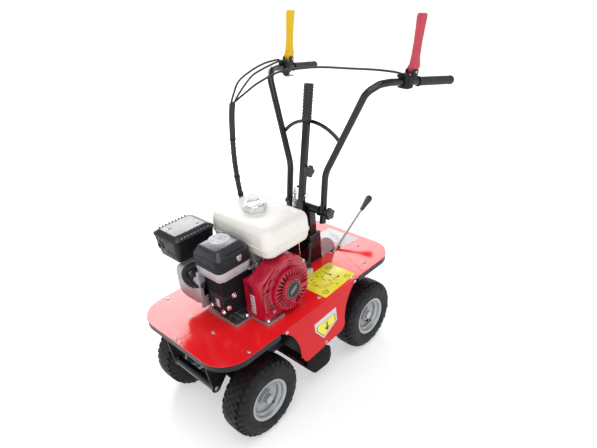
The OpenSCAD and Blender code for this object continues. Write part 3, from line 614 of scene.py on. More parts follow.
def make_deck_labels():
    """Stickers with plain pictograms only."""
    yellow = soft_corners([(103, 30), (103, 238), (252, 238), (263, 30)], 6)
    label("control_label", [yellow], DECK_Z + 0.05, DECK_Z + 0.35, HERE, LABEL_YELLOW)
    marks = []
    top = (DECK_Z + 0.35, DECK_Z + 0.5)
    for cx, cy in ((130, 205), (232, 205), (236, 60)):
        marks.append([circle(cx, cy, 13, 32), circle(cx, cy, 10.5, 32)])
        marks.append([slot_outline(cx, cy, 14, 3, 35)])
    for k in range(6):
        marks.append([box_outline(128 + 20 * k, 142 + 20 * k, 120 + (k % 2) * 12, 124 + (k % 2) * 12, 0.5)])
        marks.append([slot_outline(135 + 20 * k, 90 - (k % 3) * 8, 16, 2.5, 90 - 18 * k)])
    for x, y, length, angle in ((150, 168, 44, 0), (205, 160, 36, 90), (178, 70, 50, 12),
                                (140, 60, 24, 100), (212, 100, 30, 60)):
        marks.append([slot_outline(x, y, length, 2.6, angle)])
    for x, y, angle in ((172, 168, 0), (205, 180, 90)):
        head = [(x + 9 * math.cos(math.radians(angle + t)), y + 9 * math.sin(math.radians(angle + t)))
                for t in (0, 130, 230)]
        marks.append([head])
    meshes = [plate(m, *top, HERE, 0.03, 1) for m in marks]
    finish_piece("control_pictograms", meshes, PRINT_AND_SHADE_BLACK, "chassis")
    white = soft_corners([(66, 388), (84, 482), (-100, 482), (-100, 388)], 4)
    label("plain_label", [white], DECK_Z + 0.05, DECK_Z + 0.3, HERE, CARD_WHITE)
    rules = [plate([box_outline(-40 - 9 * k, 16 - 12 * (k % 3), 420 + 11 * k, 421.6 + 11 * k, 0.5)],
                   DECK_Z + 0.3, DECK_Z + 0.42, HERE, 0.03, 1) for k in range(3)]
    finish_piece("plain_label_rules", rules, PRINT_AND_SHADE_BLACK, "chassis")
    white_kite = soft_corners([(-56, 354), (77, 361), (81, 294), (-5, 253), (-53, 315)], 4)
    yellow_kite = soft_corners([(-46, 334), (69, 336), (72, 298), (-4, 262), (-44, 312)], 3)
    for side, mirror in SIDES:
        base = mirror @ FACING_X
        label(f"{side}_kite_label", [white_kite], 273.05, 273.3, base, LABEL_WHITE)
        label(f"{side}_kite_field", [yellow_kite], 273.3, 273.4, base, LABEL_YELLOW)
        edge = [plate([yellow_kite, [(y + (18 - y) * 0.07, z + (308 - z) * 0.07) for y, z in yellow_kite]],
                      273.4, 273.5, base, 0.03, 1)]
        down_arrow = [slot_outline(18, 313, 26, 8, 90), [(3, 300), (18, 279), (33, 300)]]
        edge += [plate([m], 273.4, 273.5, base, 0.03, 1) for m in down_arrow]
        finish_piece(f"{side}_kite_marks", edge, PRINT_AND_SHADE_BLACK, "chassis")


# ---------- wheels ----------

TYRE_R = 160
TREAD_TOP = [(0, TYRE_R), (18, 159.7), (34, 158.4), (45, 155.0), (52, 148.5), (56.4, 139), (58.6, 128)]
PITCHES = 34  # lugs round each row
ROW_STEP = 14.6  # between the rows of crown lugs
LUG_DEPTH = 6.4
SHOULDER_DEPTH = 6.0


def tread_point(s, depth):
    """The point s across from the tyre's centre line and depth below its tread, in mm: (x, radius)."""
    side = 1 if s >= 0 else -1
    s = abs(s)
    for (xa, ra), (xb, rb) in zip(TREAD_TOP, TREAD_TOP[1:]):
        step = math.hypot(xb - xa, rb - ra)
        if s <= step or (xb, rb) == TREAD_TOP[-1]:
            t = s / step
            nx, nr = -(rb - ra) / step, (xb - xa) / step
            return side * (xa + (xb - xa) * t - nx * depth), ra + (rb - ra) * t - nr * depth
        s -= step


def tread_block(bm, corners, depth, slope):
    """One lug: corners are (s, along) in millimetres, its walls slope outward to its foot."""
    cs = sum(c[0] for c in corners) / len(corners)
    ca = sum(c[1] for c in corners) / len(corners)
    rings = []
    for grow, down in ((0.0, 0.0), (slope, depth)):
        ring = []
        for s, along in corners:
            away = Vector((s - cs, along - ca))
            away = away.normalized() * grow
            x, r = tread_point(s + away.x, down)
            angle = (along + away.y) / TYRE_R
            ring.append(bm.verts.new((r * math.cos(angle), r * math.sin(angle), x)))
        rings.append(ring)
    top, foot = rings
    bm.faces.new(top)
    n = len(top)
    for k in range(n):
        bm.faces.new((top[k], foot[k], foot[(k + 1) % n], top[(k + 1) % n]))


def tyre_mesh():
    """Carcass with a ringed sidewall, a crown of staggered diamond lugs and a row of shoulder lugs."""
    half = [(76.4, 50), (77, 52), (85.5, 52.2), (88, 54.0), (92, 56.4), (95, 57.4), (96.5, 56.6),
            (105, 57.6), (113, 58.0), (114.2, 58.9), (116.6, 58.9), (118, 58.0), (128, 57.6), (137, 55),
            (144, 50), (149, 43), (152, 32), (153.6, 16), (154, 0)]
    outer = half + [(r, -x) for r, x in reversed(half[:-1])]
    inner = [(76.4, -43), (100, -48), (125, -49), (139, -45), (147, -34), (149, 0), (147, 34), (139, 45),
             (125, 49), (100, 48), (76.4, 43)]
    carcass = lathe(outer + inner, HERE, 128, closed=True)
    carcass.transform(ROW.inverted())
    bm = bmesh.new()
    pitch = 2 * math.pi * TYRE_R / PITCHES
    wide, long = 12.4, pitch / 2 - 1.7
    for row in range(-2, 3):
        s = row * ROW_STEP
        for k in range(PITCHES):
            a = (k + 0.5 * (row % 2)) * pitch
            corners = [(s - wide, a), (s - 1.6, a - long), (s + 1.6, a - long), (s + wide, a),
                       (s + 1.6, a + long), (s - 1.6, a + long)]
            tread_block(bm, corners, LUG_DEPTH, 0.9)
    for side in (1, -1):
        for k in range(PITCHES):
            a = (k + 0.5) * pitch
            near, far = (43.5, 62) if k % 2 else (45.5, 70)
            width = pitch * 0.30
            corners = [(side * near, a - width), (side * far, a - width * 1.05),
                       (side * far, a + width * 1.05), (side * near, a + width)]
            tread_block(bm, corners, SHOULDER_DEPTH, 0.8)
    return joined([with_index(carcass, 1), outward_mesh(bm)])


def rim_meshes(front):
    """Pressed rim with rolled lips, a dished disc and a hub, whose dish faces +z before it is laid over."""
    outer = [(85.4, 56.0), (87.2, 54.6), (87.0, 52.8), (85.2, 52.3), (80, 51), (76.4, 47), (76.0, 42),
             (73, 37), (67, 33), (66, 30), (66, -30), (67, -33), (73, -37), (76.0, -42), (76.4, -47),
             (80, -51), (85.2, -52.3), (87.0, -52.8), (87.2, -54.6), (85.4, -56.0)]
    inner = [(82, -55.6), (76, -53), (73.4, -48), (73, -43), (70, -38.5), (64, -34.5), (63, -31), (63, 31),
             (64, 34.5), (70, 38.5), (73, 43), (73.4, 48), (76, 53), (82, 55.6)]
    barrel = turned(outer + inner, 2.0, HERE, 96, closed=True, fine=3)
    disc = [(63.5, 24), (60, 24), (56, 19.5), (46, 14), (36, 12.5), (30, 14), (27.2, 20), (27, 36.5),
            (25.8, 38), (21, 38), (21, -38), (27, -38), (27, 4), (30, 9.5), (46, 10), (56, 15.5), (60, 20),
            (63.5, 20)]
    if not front:
        disc = [(r if r > 22 else 12.5, z) for r, z in disc]
    face = turned(disc, 1.5, HERE, 96, closed=True, fine=3)
    return [barrel, face]


def make_wheels():
    """Four wheels from one tyre and one kind of rim, each turned to a different angle."""
    tyre = tyre_mesh()
    places = {"front_left": (1, -AXLE_Y, "front_left_wheel", 33),
              "front_right": (-1, -AXLE_Y, "front_right_wheel", 140),
              "rear_left": (1, AXLE_Y, "rear_wheels", 20), "rear_right": (-1, AXLE_Y, "rear_wheels", 250)}
    for name, (side, y, body, spin) in places.items():
        front = name.startswith("front")
        lay = (HERE if side > 0 else MIRROR) @ shift(TRACK_HALF, y, AXLE_Z) @ ALONG_X @ turn(spin, "Z")
        mesh = tyre.copy()
        mesh.transform(ROW @ lay)
        if (ROW @ lay).determinant() < 0:
            mesh.flip_normals()
        stands_for = [f"{name}_tyre"] if front else (["rear_tyres"] if side > 0 else [])
        finish_piece(f"{name}_tyre_treaded", mesh, [RUBBER, SIDEWALL], body, stands_for, 30)

        rim = joined(rim_meshes(front))
        rim.transform(ROW @ lay @ ROW.inverted())
        if lay.determinant() < 0:
            rim.flip_normals()
        stands_for = [f"{name}_rim"] if front else (["rear_rims"] if side > 0 else [])
        finish_piece(f"{name}_rim_pressed", rim, RIM_SILVER, body, stands_for, 40)

        stem_place = lay @ shift(56, 0, 21) @ turn(-30, "Y")
        stem = turned([(0, -6), (7.5, -6), (7.5, -1), (5.2, 3), (4.2, 14), (4.0, 20), (4.4, 21), (4.4, 28),
                       (3.6, 30), (0, 30.2)], 0.6, stem_place, 24)
        finish_piece(f"{name}_valve_stem", stem, GRIP_RUBBER, body)
        collar = turned([(2.8, 16.5), (4.9, 16.5), (4.9, 20.5), (2.8, 20.5)], 0.3, stem_place, 24)
        finish_piece(f"{name}_valve_collar", collar, CHROME, body)

        cap_body = "chassis" if front else body
        ring = turned([(10.2, 38.2), (20.5, 38.2), (20.5, 41), (16, 43.5), (10.2, 43.5)], 1.0, lay, 48,
                      closed=True)
        finish_piece(f"{name}_hub_washer", ring, HUB_BLUE, cap_body)
        top = 52 if front else 46
        cap = turned([(0, 43.6), (14.5, 43.6), (14.5, top - 3.5), (12.5, top - 1), (7, top - 0.2),
                      (0, top - 0.1)], 1.0, lay, 48)
        finish_piece(f"{name}_hub_cap", cap, CHROME, cap_body)


# ---------- engine ----------

FAN_FRONT = -245  # y of the housing's front face
FAN_ROLL = 38  # radius of its rolled front edge


def fan_outline(grow=0.0, front=FAN_FRONT):
    """Side outline of the fan housing with its duct towards the front, as (y, z)."""
    low = 445 - grow
    points = [(FAN_FRONT - grow, low + 5), (FAN_FRONT - grow, 612 + grow), (-160, 650 + grow)]
    points += arc(-110, 552, 112 + grow, 96, -70, 36)
    points.append((FAN_FRONT + 12, low))
    return [(max(y, front), z) for y, z in points]


def spread_slots(cx, cy, r0, r1, width, count):
    """Radial slots from r0 to r1, all the way round."""
    out = []
    mid = (r0 + r1) / 2
    for k in range(count):
        a = 360.0 * k / count
        c, s = math.cos(math.radians(a)), math.sin(math.radians(a))
        out.append(slot_outline(cx + c * mid, cy + s * mid, r1 - r0, width, a))
    return out


def slot_block(cy, cz, degrees, rows, cols, length, width, pitch_long, pitch_wide):
    """A block of slots in rows and columns, turned by degrees about (cy, cz)."""
    out = []
    c, s = math.cos(math.radians(degrees)), math.sin(math.radians(degrees))
    for i in range(rows):
        for k in range(cols):
            u = (k - (cols - 1) / 2) * pitch_long
            v = (i - (rows - 1) / 2) * pitch_wide
            out.append(slot_outline(cy + c * u - s * v, cz + s * u + c * v, length, width, degrees))
    return out


def fan_shell():
    """The housing's wall, whose front edge rolls over to its flat face."""
    rings = [[(128.5, y, z) for y, z in fan_outline()]]
    for step in range(10):
        a = math.radians(90 * step / 9)
        x = 160 + FAN_ROLL * math.sin(a)
        rings.append([(x, y, z) for y, z in fan_outline(0, FAN_FRONT + FAN_ROLL * (1 - math.cos(a)))])
    for inset, x in ((1.2, 200.5), (3.2, 202.0), (6, 202.6)):
        rings.append([(x, y, z) for y, z in fan_outline(-inset, FAN_FRONT + FAN_ROLL + inset)])
    return loft(rings)


def make_fan_cover():
    """Crimson fan housing with its duct, lobe, slotted panels, plain stripe and screws."""
    y, z = CRANK
    wrap = [[(x, py, pz) for py, pz in box_outline(FAN_FRONT, -192, 445, 608, 3)] for x in (106, 130)]
    lobe = turned([(36, 176), (36, 198), (33, 202), (0, 203)], 3, shift(0, -100, 634) @ ALONG_X, 72)
    parts = [fan_shell(), loft(wrap), lobe]
    # a raised ring round the starter, then slotted panels up to the lobe and below it, and three ribs
    parts.append(plate([circle(-112, 548, 101, 84), circle(y, z, 80, 72)], 201, 206.5, FACING_X, 2.4))
    panel = soft_corners([(-240, 578), (-214, 572), (-186, 588), (-152, 612), (-110, 622), (-78, 634),
                          (-86, 662), (-116, 668), (-170, 648), (-216, 614)],
                         [5, 8, 20, 20, 14, 12, 18, 18, 30, 20], 6)
    slots_up = slot_block(-182, 611, 40, 3, 2, 25, 8, 31, 14)
    parts.append(plate([panel, *slots_up], 200, 209, FACING_X, 2.4))
    parts.append(turned([(0, 202), (15, 202), (15, 206), (11, 209), (6, 209), (5, 205), (0, 205)], 0.8,
                        shift(0, -98, 643) @ ALONG_X, 40))
    low_panel = soft_corners([(-238, 484), (-238, 570), (-208, 576), (-194, 538), (-204, 484)], 6)
    slots_low = slot_block(-216, 529, 4, 6, 1, 31, 7.0, 34, 12.5)
    parts.append(plate([low_panel, *slots_low], 200, 205, FACING_X, 1.4))
    for k in range(3):
        parts.append(plate([slot_outline(-150 - k * 10, 476 + k * 9, 60 - 8 * k, 4, -32)], 200, 204.5,
                           FACING_X, 1.2))
    finish_piece("fan_housing", parts, CRIMSON, "chassis", ["fan_cover"], 28)
    # the dark sheets behind the slotted panels and the dark slot marks on the lower panel are painted shade
    # for the housing's dark inside
    behind = slot_block(-182, 611, 40, 3, 2, 26, 8.6, 31, 14)
    behind += slot_block(-216, 529, 4, 6, 1, 32, 7.6, 34, 12.5)
    dark = [plate([slot], 202.4, 203.2, FACING_X, 0.2, 1) for slot in behind]
    behind = slot_block(-202, 500, -28, 3, 1, 22, 4.5, 30, 9)
    dark += [plate([slot], 206.2, 206.8, FACING_X, 0.2, 1) for slot in behind]
    finish_piece("fan_housing_slot_shade", dark, PRINT_AND_SHADE_BLACK, "chassis")
    front = -FAN_FRONT
    stripe = plate([box_outline(137, 160, 470, 552, 1.5)], front + 0.1, front + 0.5, FACING_BACK, 0.1, 1)
    finish_piece("fan_housing_stripe", stripe, LABEL_WHITE, "chassis")
    bars = []
    for k in range(6):
        outline = box_outline(140, 157, 476 + 13 * k, 481 + 13 * k, 0.8)
        bars.append(plate([outline], front + 0.5, front + 0.6, FACING_BACK, 0.03, 1))
    finish_piece("fan_housing_stripe_bars", bars, CRIMSON, "chassis")
    oval = plate([box_outline(136, 152, 562, 596, 6)], front + 0.1, front + 0.6, FACING_BACK, 0.1, 1)
    finish_piece("fan_housing_oval", oval, PRINT_AND_SHADE_BLACK, "chassis")
    places = ((-192, 470), (-20, 610), (-196, 590))
    bosses = [screw(shift(202, by, bz) @ ALONG_X, 5.5, 4, "hex") for by, bz in places]
    finish_piece("fan_housing_screws", bosses, ZINC, "chassis")


def make_recoil():
    """Dished starter housing with radial slots and a plain dark badge."""
    y, z = CRANK
    slots = spread_slots(y, z, 47, 81, 5.4, 30)
    disc = plate([circle(y, z, 88, 96), *slots], 205, 224, FACING_X, 5, 4)
    boss = turned([(44, 222), (44, 227), (41, 229.5), (0, 229.5)], 1.5, shift(0, y, z) @ ALONG_X, 72)
    finish_piece("recoil_housing", [disc, boss], CRIMSON, "chassis",
                 ["recoil_starter"], 25)
    badge = turned([(0, 229), (38, 229), (38, 230.0), (36, 230.5), (0, 230.8)], 0.4,
                   shift(0, y, z) @ ALONG_X, 72)
    finish_piece("recoil_badge", badge, BADGE_DARK, "chassis")
    # a plain ring and two bars fill the badge
    marks = [plate([circle(y, z, 33, 60), circle(y, z, 31.8, 60)], 230.5, 230.9, FACING_X, 0.1, 1)]
    for k in range(2):
        marks.append(plate([slot_outline(y, z - 5 + 10 * k, 40, 3.2, 30)], 230.5, 230.95, FACING_X, 0.1, 1))
    finish_piece("recoil_badge_rings", marks, SILVER_AND_HIGHLIGHT, "chassis")
    back = plate([circle(y, z, 84, 72)], 204.2, 205.2, FACING_X, 0.2, 1)
    finish_piece("recoil_shadow", back, PRINT_AND_SHADE_BLACK, "chassis")


def make_starter_grip():
    """T-shaped pull grip, and the rope that stretches out behind it."""
    x, z, wide = 186, 561, 1.9
    place = shift(x, 12, z) @ ALONG_Y
    knob = turned([(0, -6), (7, -6), (9, -1), (10, 5), (10, 12), (8, 17.6), (0, 18)], 2.0, place, 32)
    for v in knob.vertices:
        p = ROW.inverted() @ v.co
        p.x = x + (p.x - x) * wide
        v.co = ROW @ p
    face = plate([slot_outline(x, z, 26, 9)], 0, 0.6, shift(0, 30.1, 0) @ FACING_BACK, 0.2, 1)
    finish_piece("starter_handle", knob, TEXTURED_BLACK, "starter", ["starter_grip"])
    finish_piece("starter_handle_face", face, LABEL_WHITE, "starter")
    rope = sweep([(x, y, z) for y in range(-30, 9, 2)], 2.0, 10)
    piece = finish_piece("starter_rope", rope, SILVER_AND_HIGHLIGHT, None)
    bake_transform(piece)


def make_cylinder():
    """Cylinder block with cooling fins, head bolts and a plain tag."""
    parts = [box(-6, 96, -331, -192, 478, 640, 8, 3)]
    for k in range(12):
        z = 568 + k * 6.0
        parts.append(box(-10, 102, -335, -190, z, z + 2.6, 9, 0.8))
    for k in range(5):
        parts.append(box(-10, 102, -335, -190, 484 + k * 15, 487 + k * 15, 9, 1.0))
    parts.append(box(8, 92, -335, -300, 500, 572, 8, 6))
    finish_piece("finned_cylinder", parts, SATIN_BLACK, "chassis", ["cylinder_block"], 25)
    bolts = [screw(shift(x, -335, 500) @ ALONG_Y @ turn(180, "X"), 8, 8, "hex") for x in (12, 84)]
    bolts += [screw(shift(102, y, z) @ ALONG_X, 8, 8, "hex") for y, z in ((-322, 520), (-292, 560))]
    finish_piece("cylinder_bolts", bolts, CHROME, "chassis")
    tag = plate([box_outline(44, 66, 512, 548, 2)], 335.0, 335.4, FACING_BACK, 0.1, 1)
    finish_piece("cylinder_tag", tag, SILVER_AND_HIGHLIGHT, "chassis")


def make_cylinder_head():
    """Rocker cover, with the spark plug's boot and lead."""
    cover = plate([box_outline(-165, -11, 490, 640, 46, 10)], 190, 360, FACING_BACK, 16, 6)
    rim = plate([box_outline(-160, -12, 494, 636, 44, 10)], 330, 344, FACING_BACK, 2)
    lip = plate([box_outline(-24, -11, 484, 646, 5)], 192, 358, FACING_BACK, 3)
    finish_piece("rocker_cover", [cover, rim, lip], HEAD_SILVER, "chassis",
                 ["cylinder_head"], 25)
    def boot_radius(t):
        return 14 if t < 0.55 else 14 - 6 * (t - 0.55)

    path = smooth_path([(-30, -352, 640), (-44, -352, 626), (-62, -352, 600), (-66, -350, 575),
                        (-50, -345, 552), (-24, -336, 545)], 6)
    boot = sweep(path, boot_radius, 20)
    finish_piece("spark_plug_boot", boot, TEXTURED_BLACK, "chassis")
    path = smooth_path([(-38, -350, 634), (-20, -340, 646), (10, -330, 650), (60, -318, 650)], 6)
    lead = sweep(path, 4, 12)
    finish_piece("spark_plug_lead", lead, CABLE_SHEATH, "chassis")


def make_muffler():
    """Square muffler with a seamed lid whose sloping roof edge is slotted."""
    body = crowned_box(-250, -90, -378, -188, [(652, 20, 14), (654, 16, 16), (660, 13, 18), (700, 7, 20),
                                               (743, 3, 20)])
    lip = crowned_box(-250, -90, -378, -188, [(742, 1.5, 20), (743, 0, 22), (747, 0, 22), (748.5, 1, 21)])
    roof = crowned_box(-250, -90, -378, -188, [(747.5, 2, 20), (749, 2.4, 20), (758, 15, 14), (761, 19, 12),
                                               (762.4, 23, 10), (763, 30, 8)])
    finish_piece("muffler_body", [body, lip], SATIN_BLACK, "chassis", ["muffler"], 30)
    finish_piece("muffler_roof", roof, HEAT_BLACK, "chassis", (), 24)
    # slots are pressed through the sloping edge of the roof and drawn as thin marks: the silver ones on the
    # near side are a painted highlight, the black ones on the far and front sides and in the front face are
    # painted shade
    near_side = shift(-97.6, 0, 753.6) @ turn(-54, "Y")
    far_side = shift(-242.4, 0, 753.6) @ turn(54, "Y")
    front_side = shift(0, -370.4, 753.6) @ turn(54, "X")
    bright, dark = [], []
    for k in range(9):
        y = -346 + k * 15
        bright.append(box(-5.5, 5.5, y, y + 7.5, -1.0, 0.5, 1.5, 0.3, near_side))
        dark.append(box(-5.5, 5.5, y, y + 7.5, -1.0, 0.5, 1.5, 0.3, far_side))
    for k in range(8):
        x = -222 + k * 13
        dark.append(box(x, x + 5, -5.5, 5.5, -1.0, 0.5, 1.5, 0.3, front_side))
    for row in range(4):
        for k in range(4):
            x = -176 + k * 17 + (row % 2) * 5
            dark.append(box(x, x + 9, -371.4, -369.2, 672 + row * 14, 675.5 + row * 14, 1, 0.4))
    finish_piece("muffler_roof_slit_highlights", bright, SILVER_AND_HIGHLIGHT, "chassis")
    finish_piece("muffler_slot_shade", dark, PRINT_AND_SHADE_BLACK, "chassis")
    outlet = [turned([(9, 370), (18, 370), (18, 374.5), (15, 375.5), (9, 375.5)], 0.8,
                     shift(-208, 0, 704) @ turn(90, "X"), 40, closed=True)]
    finish_piece("muffler_outlet", outlet, HEAT_BLACK, "chassis")
    studs = [screw(shift(x, y, 762.6), 6.5, 4) for x, y in ((-190, -330), (-140, -236))]
    finish_piece("muffler_screws", studs, ZINC, "chassis")
    pipe = sweep(smooth_path([(-125, -230, 653), (-125, -230, 646), (-118, -226, 636), (-100, -220, 622)],
                             6), 15, 20)
    finish_piece("exhaust_pipe", pipe, HEAT_BLACK, "chassis")


def make_air_cleaner():
    """Silver band, black skirt and a sloping glossy top with a grey disc."""
    base = crowned_box(-45, 108, -347, -189, [(632, 8, 20), (633, 6, 22), (642, 2.5, 24), (666, 0.5, 26),
                                              (674.5, 0.5, 26)])
    finish_piece("air_cleaner_band", base, SILVER_AND_HIGHLIGHT, "chassis",
                 ["air_cleaner_base"], 30)
    skirt = crowned_box(-47, 110, -349, -187, [(673.5, 2.5, 24), (674.5, 1, 26), (692, 0, 28),
                                               (693, 1.2, 27), (695, 1.2, 27), (696, 0, 28), (722, 0, 28),
                                               (724, 1.5, 26)])
    top = crowned_box(-47, 110, -349, -187, [(722, 1.2, 26), (724, 1.6, 26), (742, 15, 18), (747, 19.5, 15),
                                             (750.5, 25, 12), (752, 33, 9)])
    finish_piece("air_cleaner_skirt", skirt, TEXTURED_BLACK, "chassis",
                 ["air_cleaner_cover"], 30)
    finish_piece("air_cleaner_top", top, MOULDED_DARK, "chassis", (), 24)
    # fine steps across the sloping outer side
    steps = []
    for k in range(7):
        place = shift(103.5, 0, 733) @ turn(35, "Y")
        steps.append(box(-1.2, 1.2, -300 + k * 12, -291 + k * 12, -7, 7, 0.8, 0.5, place))
    finish_piece("air_cleaner_steps", steps, TEXTURED_BLACK, "chassis")
    clip = [box(108, 112.5, -262, -240, 700, 716, 1, 0.8), box(110, 113.5, -258, -244, 692, 702, 1, 0.8)]
    finish_piece("air_cleaner_clip", clip, ZINC, "chassis")
    place = shift(14, -256, 0)
    disc = turned([(0, 751.6), (41, 751.6), (41, 752.8), (39.5, 753.4), (12, 753.4), (0, 753.4)], 0.4,
                  place, 72)
    finish_piece("air_cleaner_disc", disc, DISC_GREY, "chassis")
    marks = [plate([circle(14, -250, 11, 40), circle(14, -250, 8.8, 40)], 753.3, 753.6, HERE, 0.1, 1)]
    marks.append(plate([circle(14, -250, 4, 24)], 753.3, 753.6, HERE, 0.1, 1))
    for k in range(6):
        a = math.radians(60 * k + 12)
        x, y = 14 + 24 * math.cos(a), -256 + 24 * math.sin(a)
        marks.append(plate([slot_outline(x, y, 8, 3.0, 60 * k + 102)], 753.3, 753.6, HERE, 0.1, 1))
    finish_piece("air_cleaner_marks", marks, PRINT_AND_SHADE_BLACK, "chassis")
    elbow = sweep(smooth_path([(-36, -322, 656), (-58, -344, 652), (-80, -360, 632), (-82, -366, 606),
                               (-60, -364, 588), (-32, -352, 584), (-6, -334, 584)], 6),
                  lambda t: 13 + 2 * math.sin(math.pi * t), 22)
    finish_piece("breather_elbow", elbow, TEXTURED_BLACK, "chassis")


def make_carburettor():
    """Carburettor body, float bowl and neck."""
    parts = [box(24, 92, -170, -122, 602, 640, 6, 3), box(34, 82, -166, -126, 636, 652, 6, 3)]
    parts.append(turned([(0, 600), (19, 600), (19, 612), (16, 616), (0, 616)], 1.5, shift(58, -146, -16),
                        40))
    parts.append(round_bar(14, 649, 670, shift(58, -146, 0), 40))
    finish_piece("carburettor_body", parts, CAST_ALLOY, "chassis", ["carburettor"])


CAP_AT = (0, -59)


def make_tank():
    """Two pressed halves on a rolled seam; the upper half's top is gently crowned."""
    upper = crowned_box(-150, 192, -181, 59, [(716, 0, 44), (762, 1.5, 44), (774, 5, 41), (781, 10, 38),
                                              (786, 17, 34), (788.4, 25, 30), (789.4, 38, 26),
                                              (790, 64, 20)], steps=12)
    lower = crowned_box(-150, 192, -181, 59, [(672, 26, 30), (672.6, 20, 32), (675, 14, 34), (680, 8, 37),
                                              (690, 4, 40), (717, 1, 44)], steps=12)
    seam = crowned_box(-153, 195, -184, 62, [(713.4, 2.2, 44), (714.2, 0.6, 46), (716.5, 0, 46),
                                             (718.8, 0.6, 46), (719.6, 2.2, 44)], steps=12)
    finish_piece("tank_shell", [upper, lower, seam], TANK_WHITE, "chassis", ["fuel_tank"], 50)
    neck = turned([(32, 786), (31, 790.4), (25, 791.5), (24.2, 799.8), (20, 799.8)], 1.5,
                  shift(*CAP_AT, 0), 56)
    finish_piece("tank_neck", neck, TANK_WHITE, "chassis")


def cap_lobes(r, wave):
    """Six-lobed outline of the filler cap."""
    pts = []
    for k in range(96):
        a = 2 * math.pi * k / 96
        rr = r + wave * math.cos(6 * a)
        pts.append((CAP_AT[0] + rr * math.cos(a), CAP_AT[1] + rr * math.sin(a)))
    return pts


def make_cap():
    """Lobed filler cap with a bright rolled ring."""
    levels = ((790.6, 43.6, 3.6), (792, 44.8, 3.8), (806, 44.8, 3.8), (811, 43, 3.2), (813, 39.6, 2.0))
    skirt = loft([[(x, y, z) for x, y in cap_lobes(r, wave)] for z, r, wave in levels])
    crown = turned([(37, 812), (38.5, 814.5), (36, 817), (31, 816.2), (28, 812.4), (0, 811.6)], 1.2,
                   shift(*CAP_AT, 0), 80, fine=3)
    finish_piece("filler_cap_body", [skirt, crown], CAP_WHITE, "filler_cap", ["fuel_cap"], 35)
    band = lathe([(38.4, 812.6), (41.8, 812.0), (42.2, 813.6), (40.4, 815.6), (38.2, 815.4)],
                 shift(*CAP_AT, 0), 80, closed=True)
    finish_piece("filler_cap_ring", band, CHROME, "filler_cap")


def make_belt_guard():
    """Folded black guard over the two belts on the far side."""
    outline = soft_corners([(-172, 431), (-172, 590), (20, 592), (224, 486), (224, 431)],
                           [2, 34, 90, 34, 2], 8)
    shell = plate([outline], -119, -57, FACING_X, 5, 4)
    finish_piece("belt_guard_shell", shell, GLOSS_BLACK, "chassis", ["belt_guard"], 30)
    places = ((-150, 450), (-140, 570), (160, 450))
    bolts = [screw(shift(-119, y, z) @ turn(-90, "Y"), 7, 5, "hex") for y, z in places]
    finish_piece("belt_guard_bolts", bolts, ZINC, "chassis")


def make_engine_feet():
    """Galvanised slotted mounting rails under the engine."""
    slots = [slot_outline(x, y, 50, 9) for y in (-292, -270) for x in (-5, 85)]
    rail = plate([box_outline(-53, 125, -318, -196, 6), *slots], 443, 446, HERE, 0.8)
    slots = [slot_outline(172, y, 44, 9) for y in (-221, -181)]
    side = plate([box_outline(128, 215, -240, -150, 6), *slots], 441, 444, HERE, 0.8)
    finish_piece("engine_rails", [rail, side], ZINC, "chassis")
    places = ((28, -292, 446), (106, -250, 446), (195, -221, 444), (150, -181, 444))
    bolts = [screw(shift(*at), 8, 7, "hex") for at in places]
    finish_piece("engine_rail_bolts", bolts, CHROME, "chassis")


# ---------- column and depth control ----------


def make_column():
    """Column with its pivot tube and ears, and the latch at its foot."""
    body = box(-25, 45, 190, 260, 430, 565, 4, 2.5)
    collar = box(-29, 49, 186, 264, 430, 438, 4, 1.5)
    post = box(-16, 38, 206, 244, 560, 676, 4, 2)
    tube = round_bar(17, -83.5, 83.5, shift(0, *BAR_PIVOT) @ ALONG_X, 48, 1.0)
    flange = [round_collar(8, 22, 76, 83.6, m @ shift(0, *BAR_PIVOT) @ ALONG_X, 48, 1.0) for m in BOTH]
    ear = soft_corners([(210, 560), (210, 614), (172, 616), (156, 600), (156, 576), (176, 562)], 8)
    hole = circle(176, 590, 7.5, 32)
    ears = [plate([ear, hole], x0, x0 + 7.5, FACING_X, 1) for x0 in (17.5, -25)]
    lug = box(-52, -15.5, 186, 222, 655, 671, 4, 1.5)
    finish_piece("column_body", [body, collar, post, tube, *flange, *ears, lug], GLOSS_BLACK, "chassis",
                 ["column"], 35)
    pins = [turned([(0, 83), (8, 83), (8, 115), (6.5, 116), (0, 116)], 0.8,
                   m @ shift(0, *BAR_PIVOT) @ ALONG_X, 32) for m in BOTH]
    pins.append(round_bar(8, -27, 27, shift(0, *LEVER_PIVOT) @ ALONG_X, 32, 0.8))
    finish_piece("column_pins", pins, BRIGHT_STEEL, "chassis")
    label("column_top_label", [box_outline(-20, 40, 246, 258, 1)], 565.1, 565.5, HERE, LABEL_WHITE)
    label("column_side_label", [box_outline(200, 250, 500, 548, 2)], 45.1, 45.4, FACING_X, PRINT_AND_SHADE_BLACK)
    # the latch arm and its white block stand beside the column's foot
    arm = sweep(smooth_path([(52, 176, 516), (60, 168, 500), (68, 150, 470), (74, 132, 444),
                             (76, 126, 434)], 6), 8, 16, flat=0.7)
    knee = sweep(smooth_path([(44, 196, 530), (50, 186, 532), (56, 174, 520), (52, 166, 506)], 6), 7, 16)
    finish_piece("latch_arm", [arm, knee], GLOSS_BLACK, "chassis")
    finish_piece("latch_block", box(70, 104, 96, 136, 430, 452, 3, 2), CAP_WHITE, "chassis")


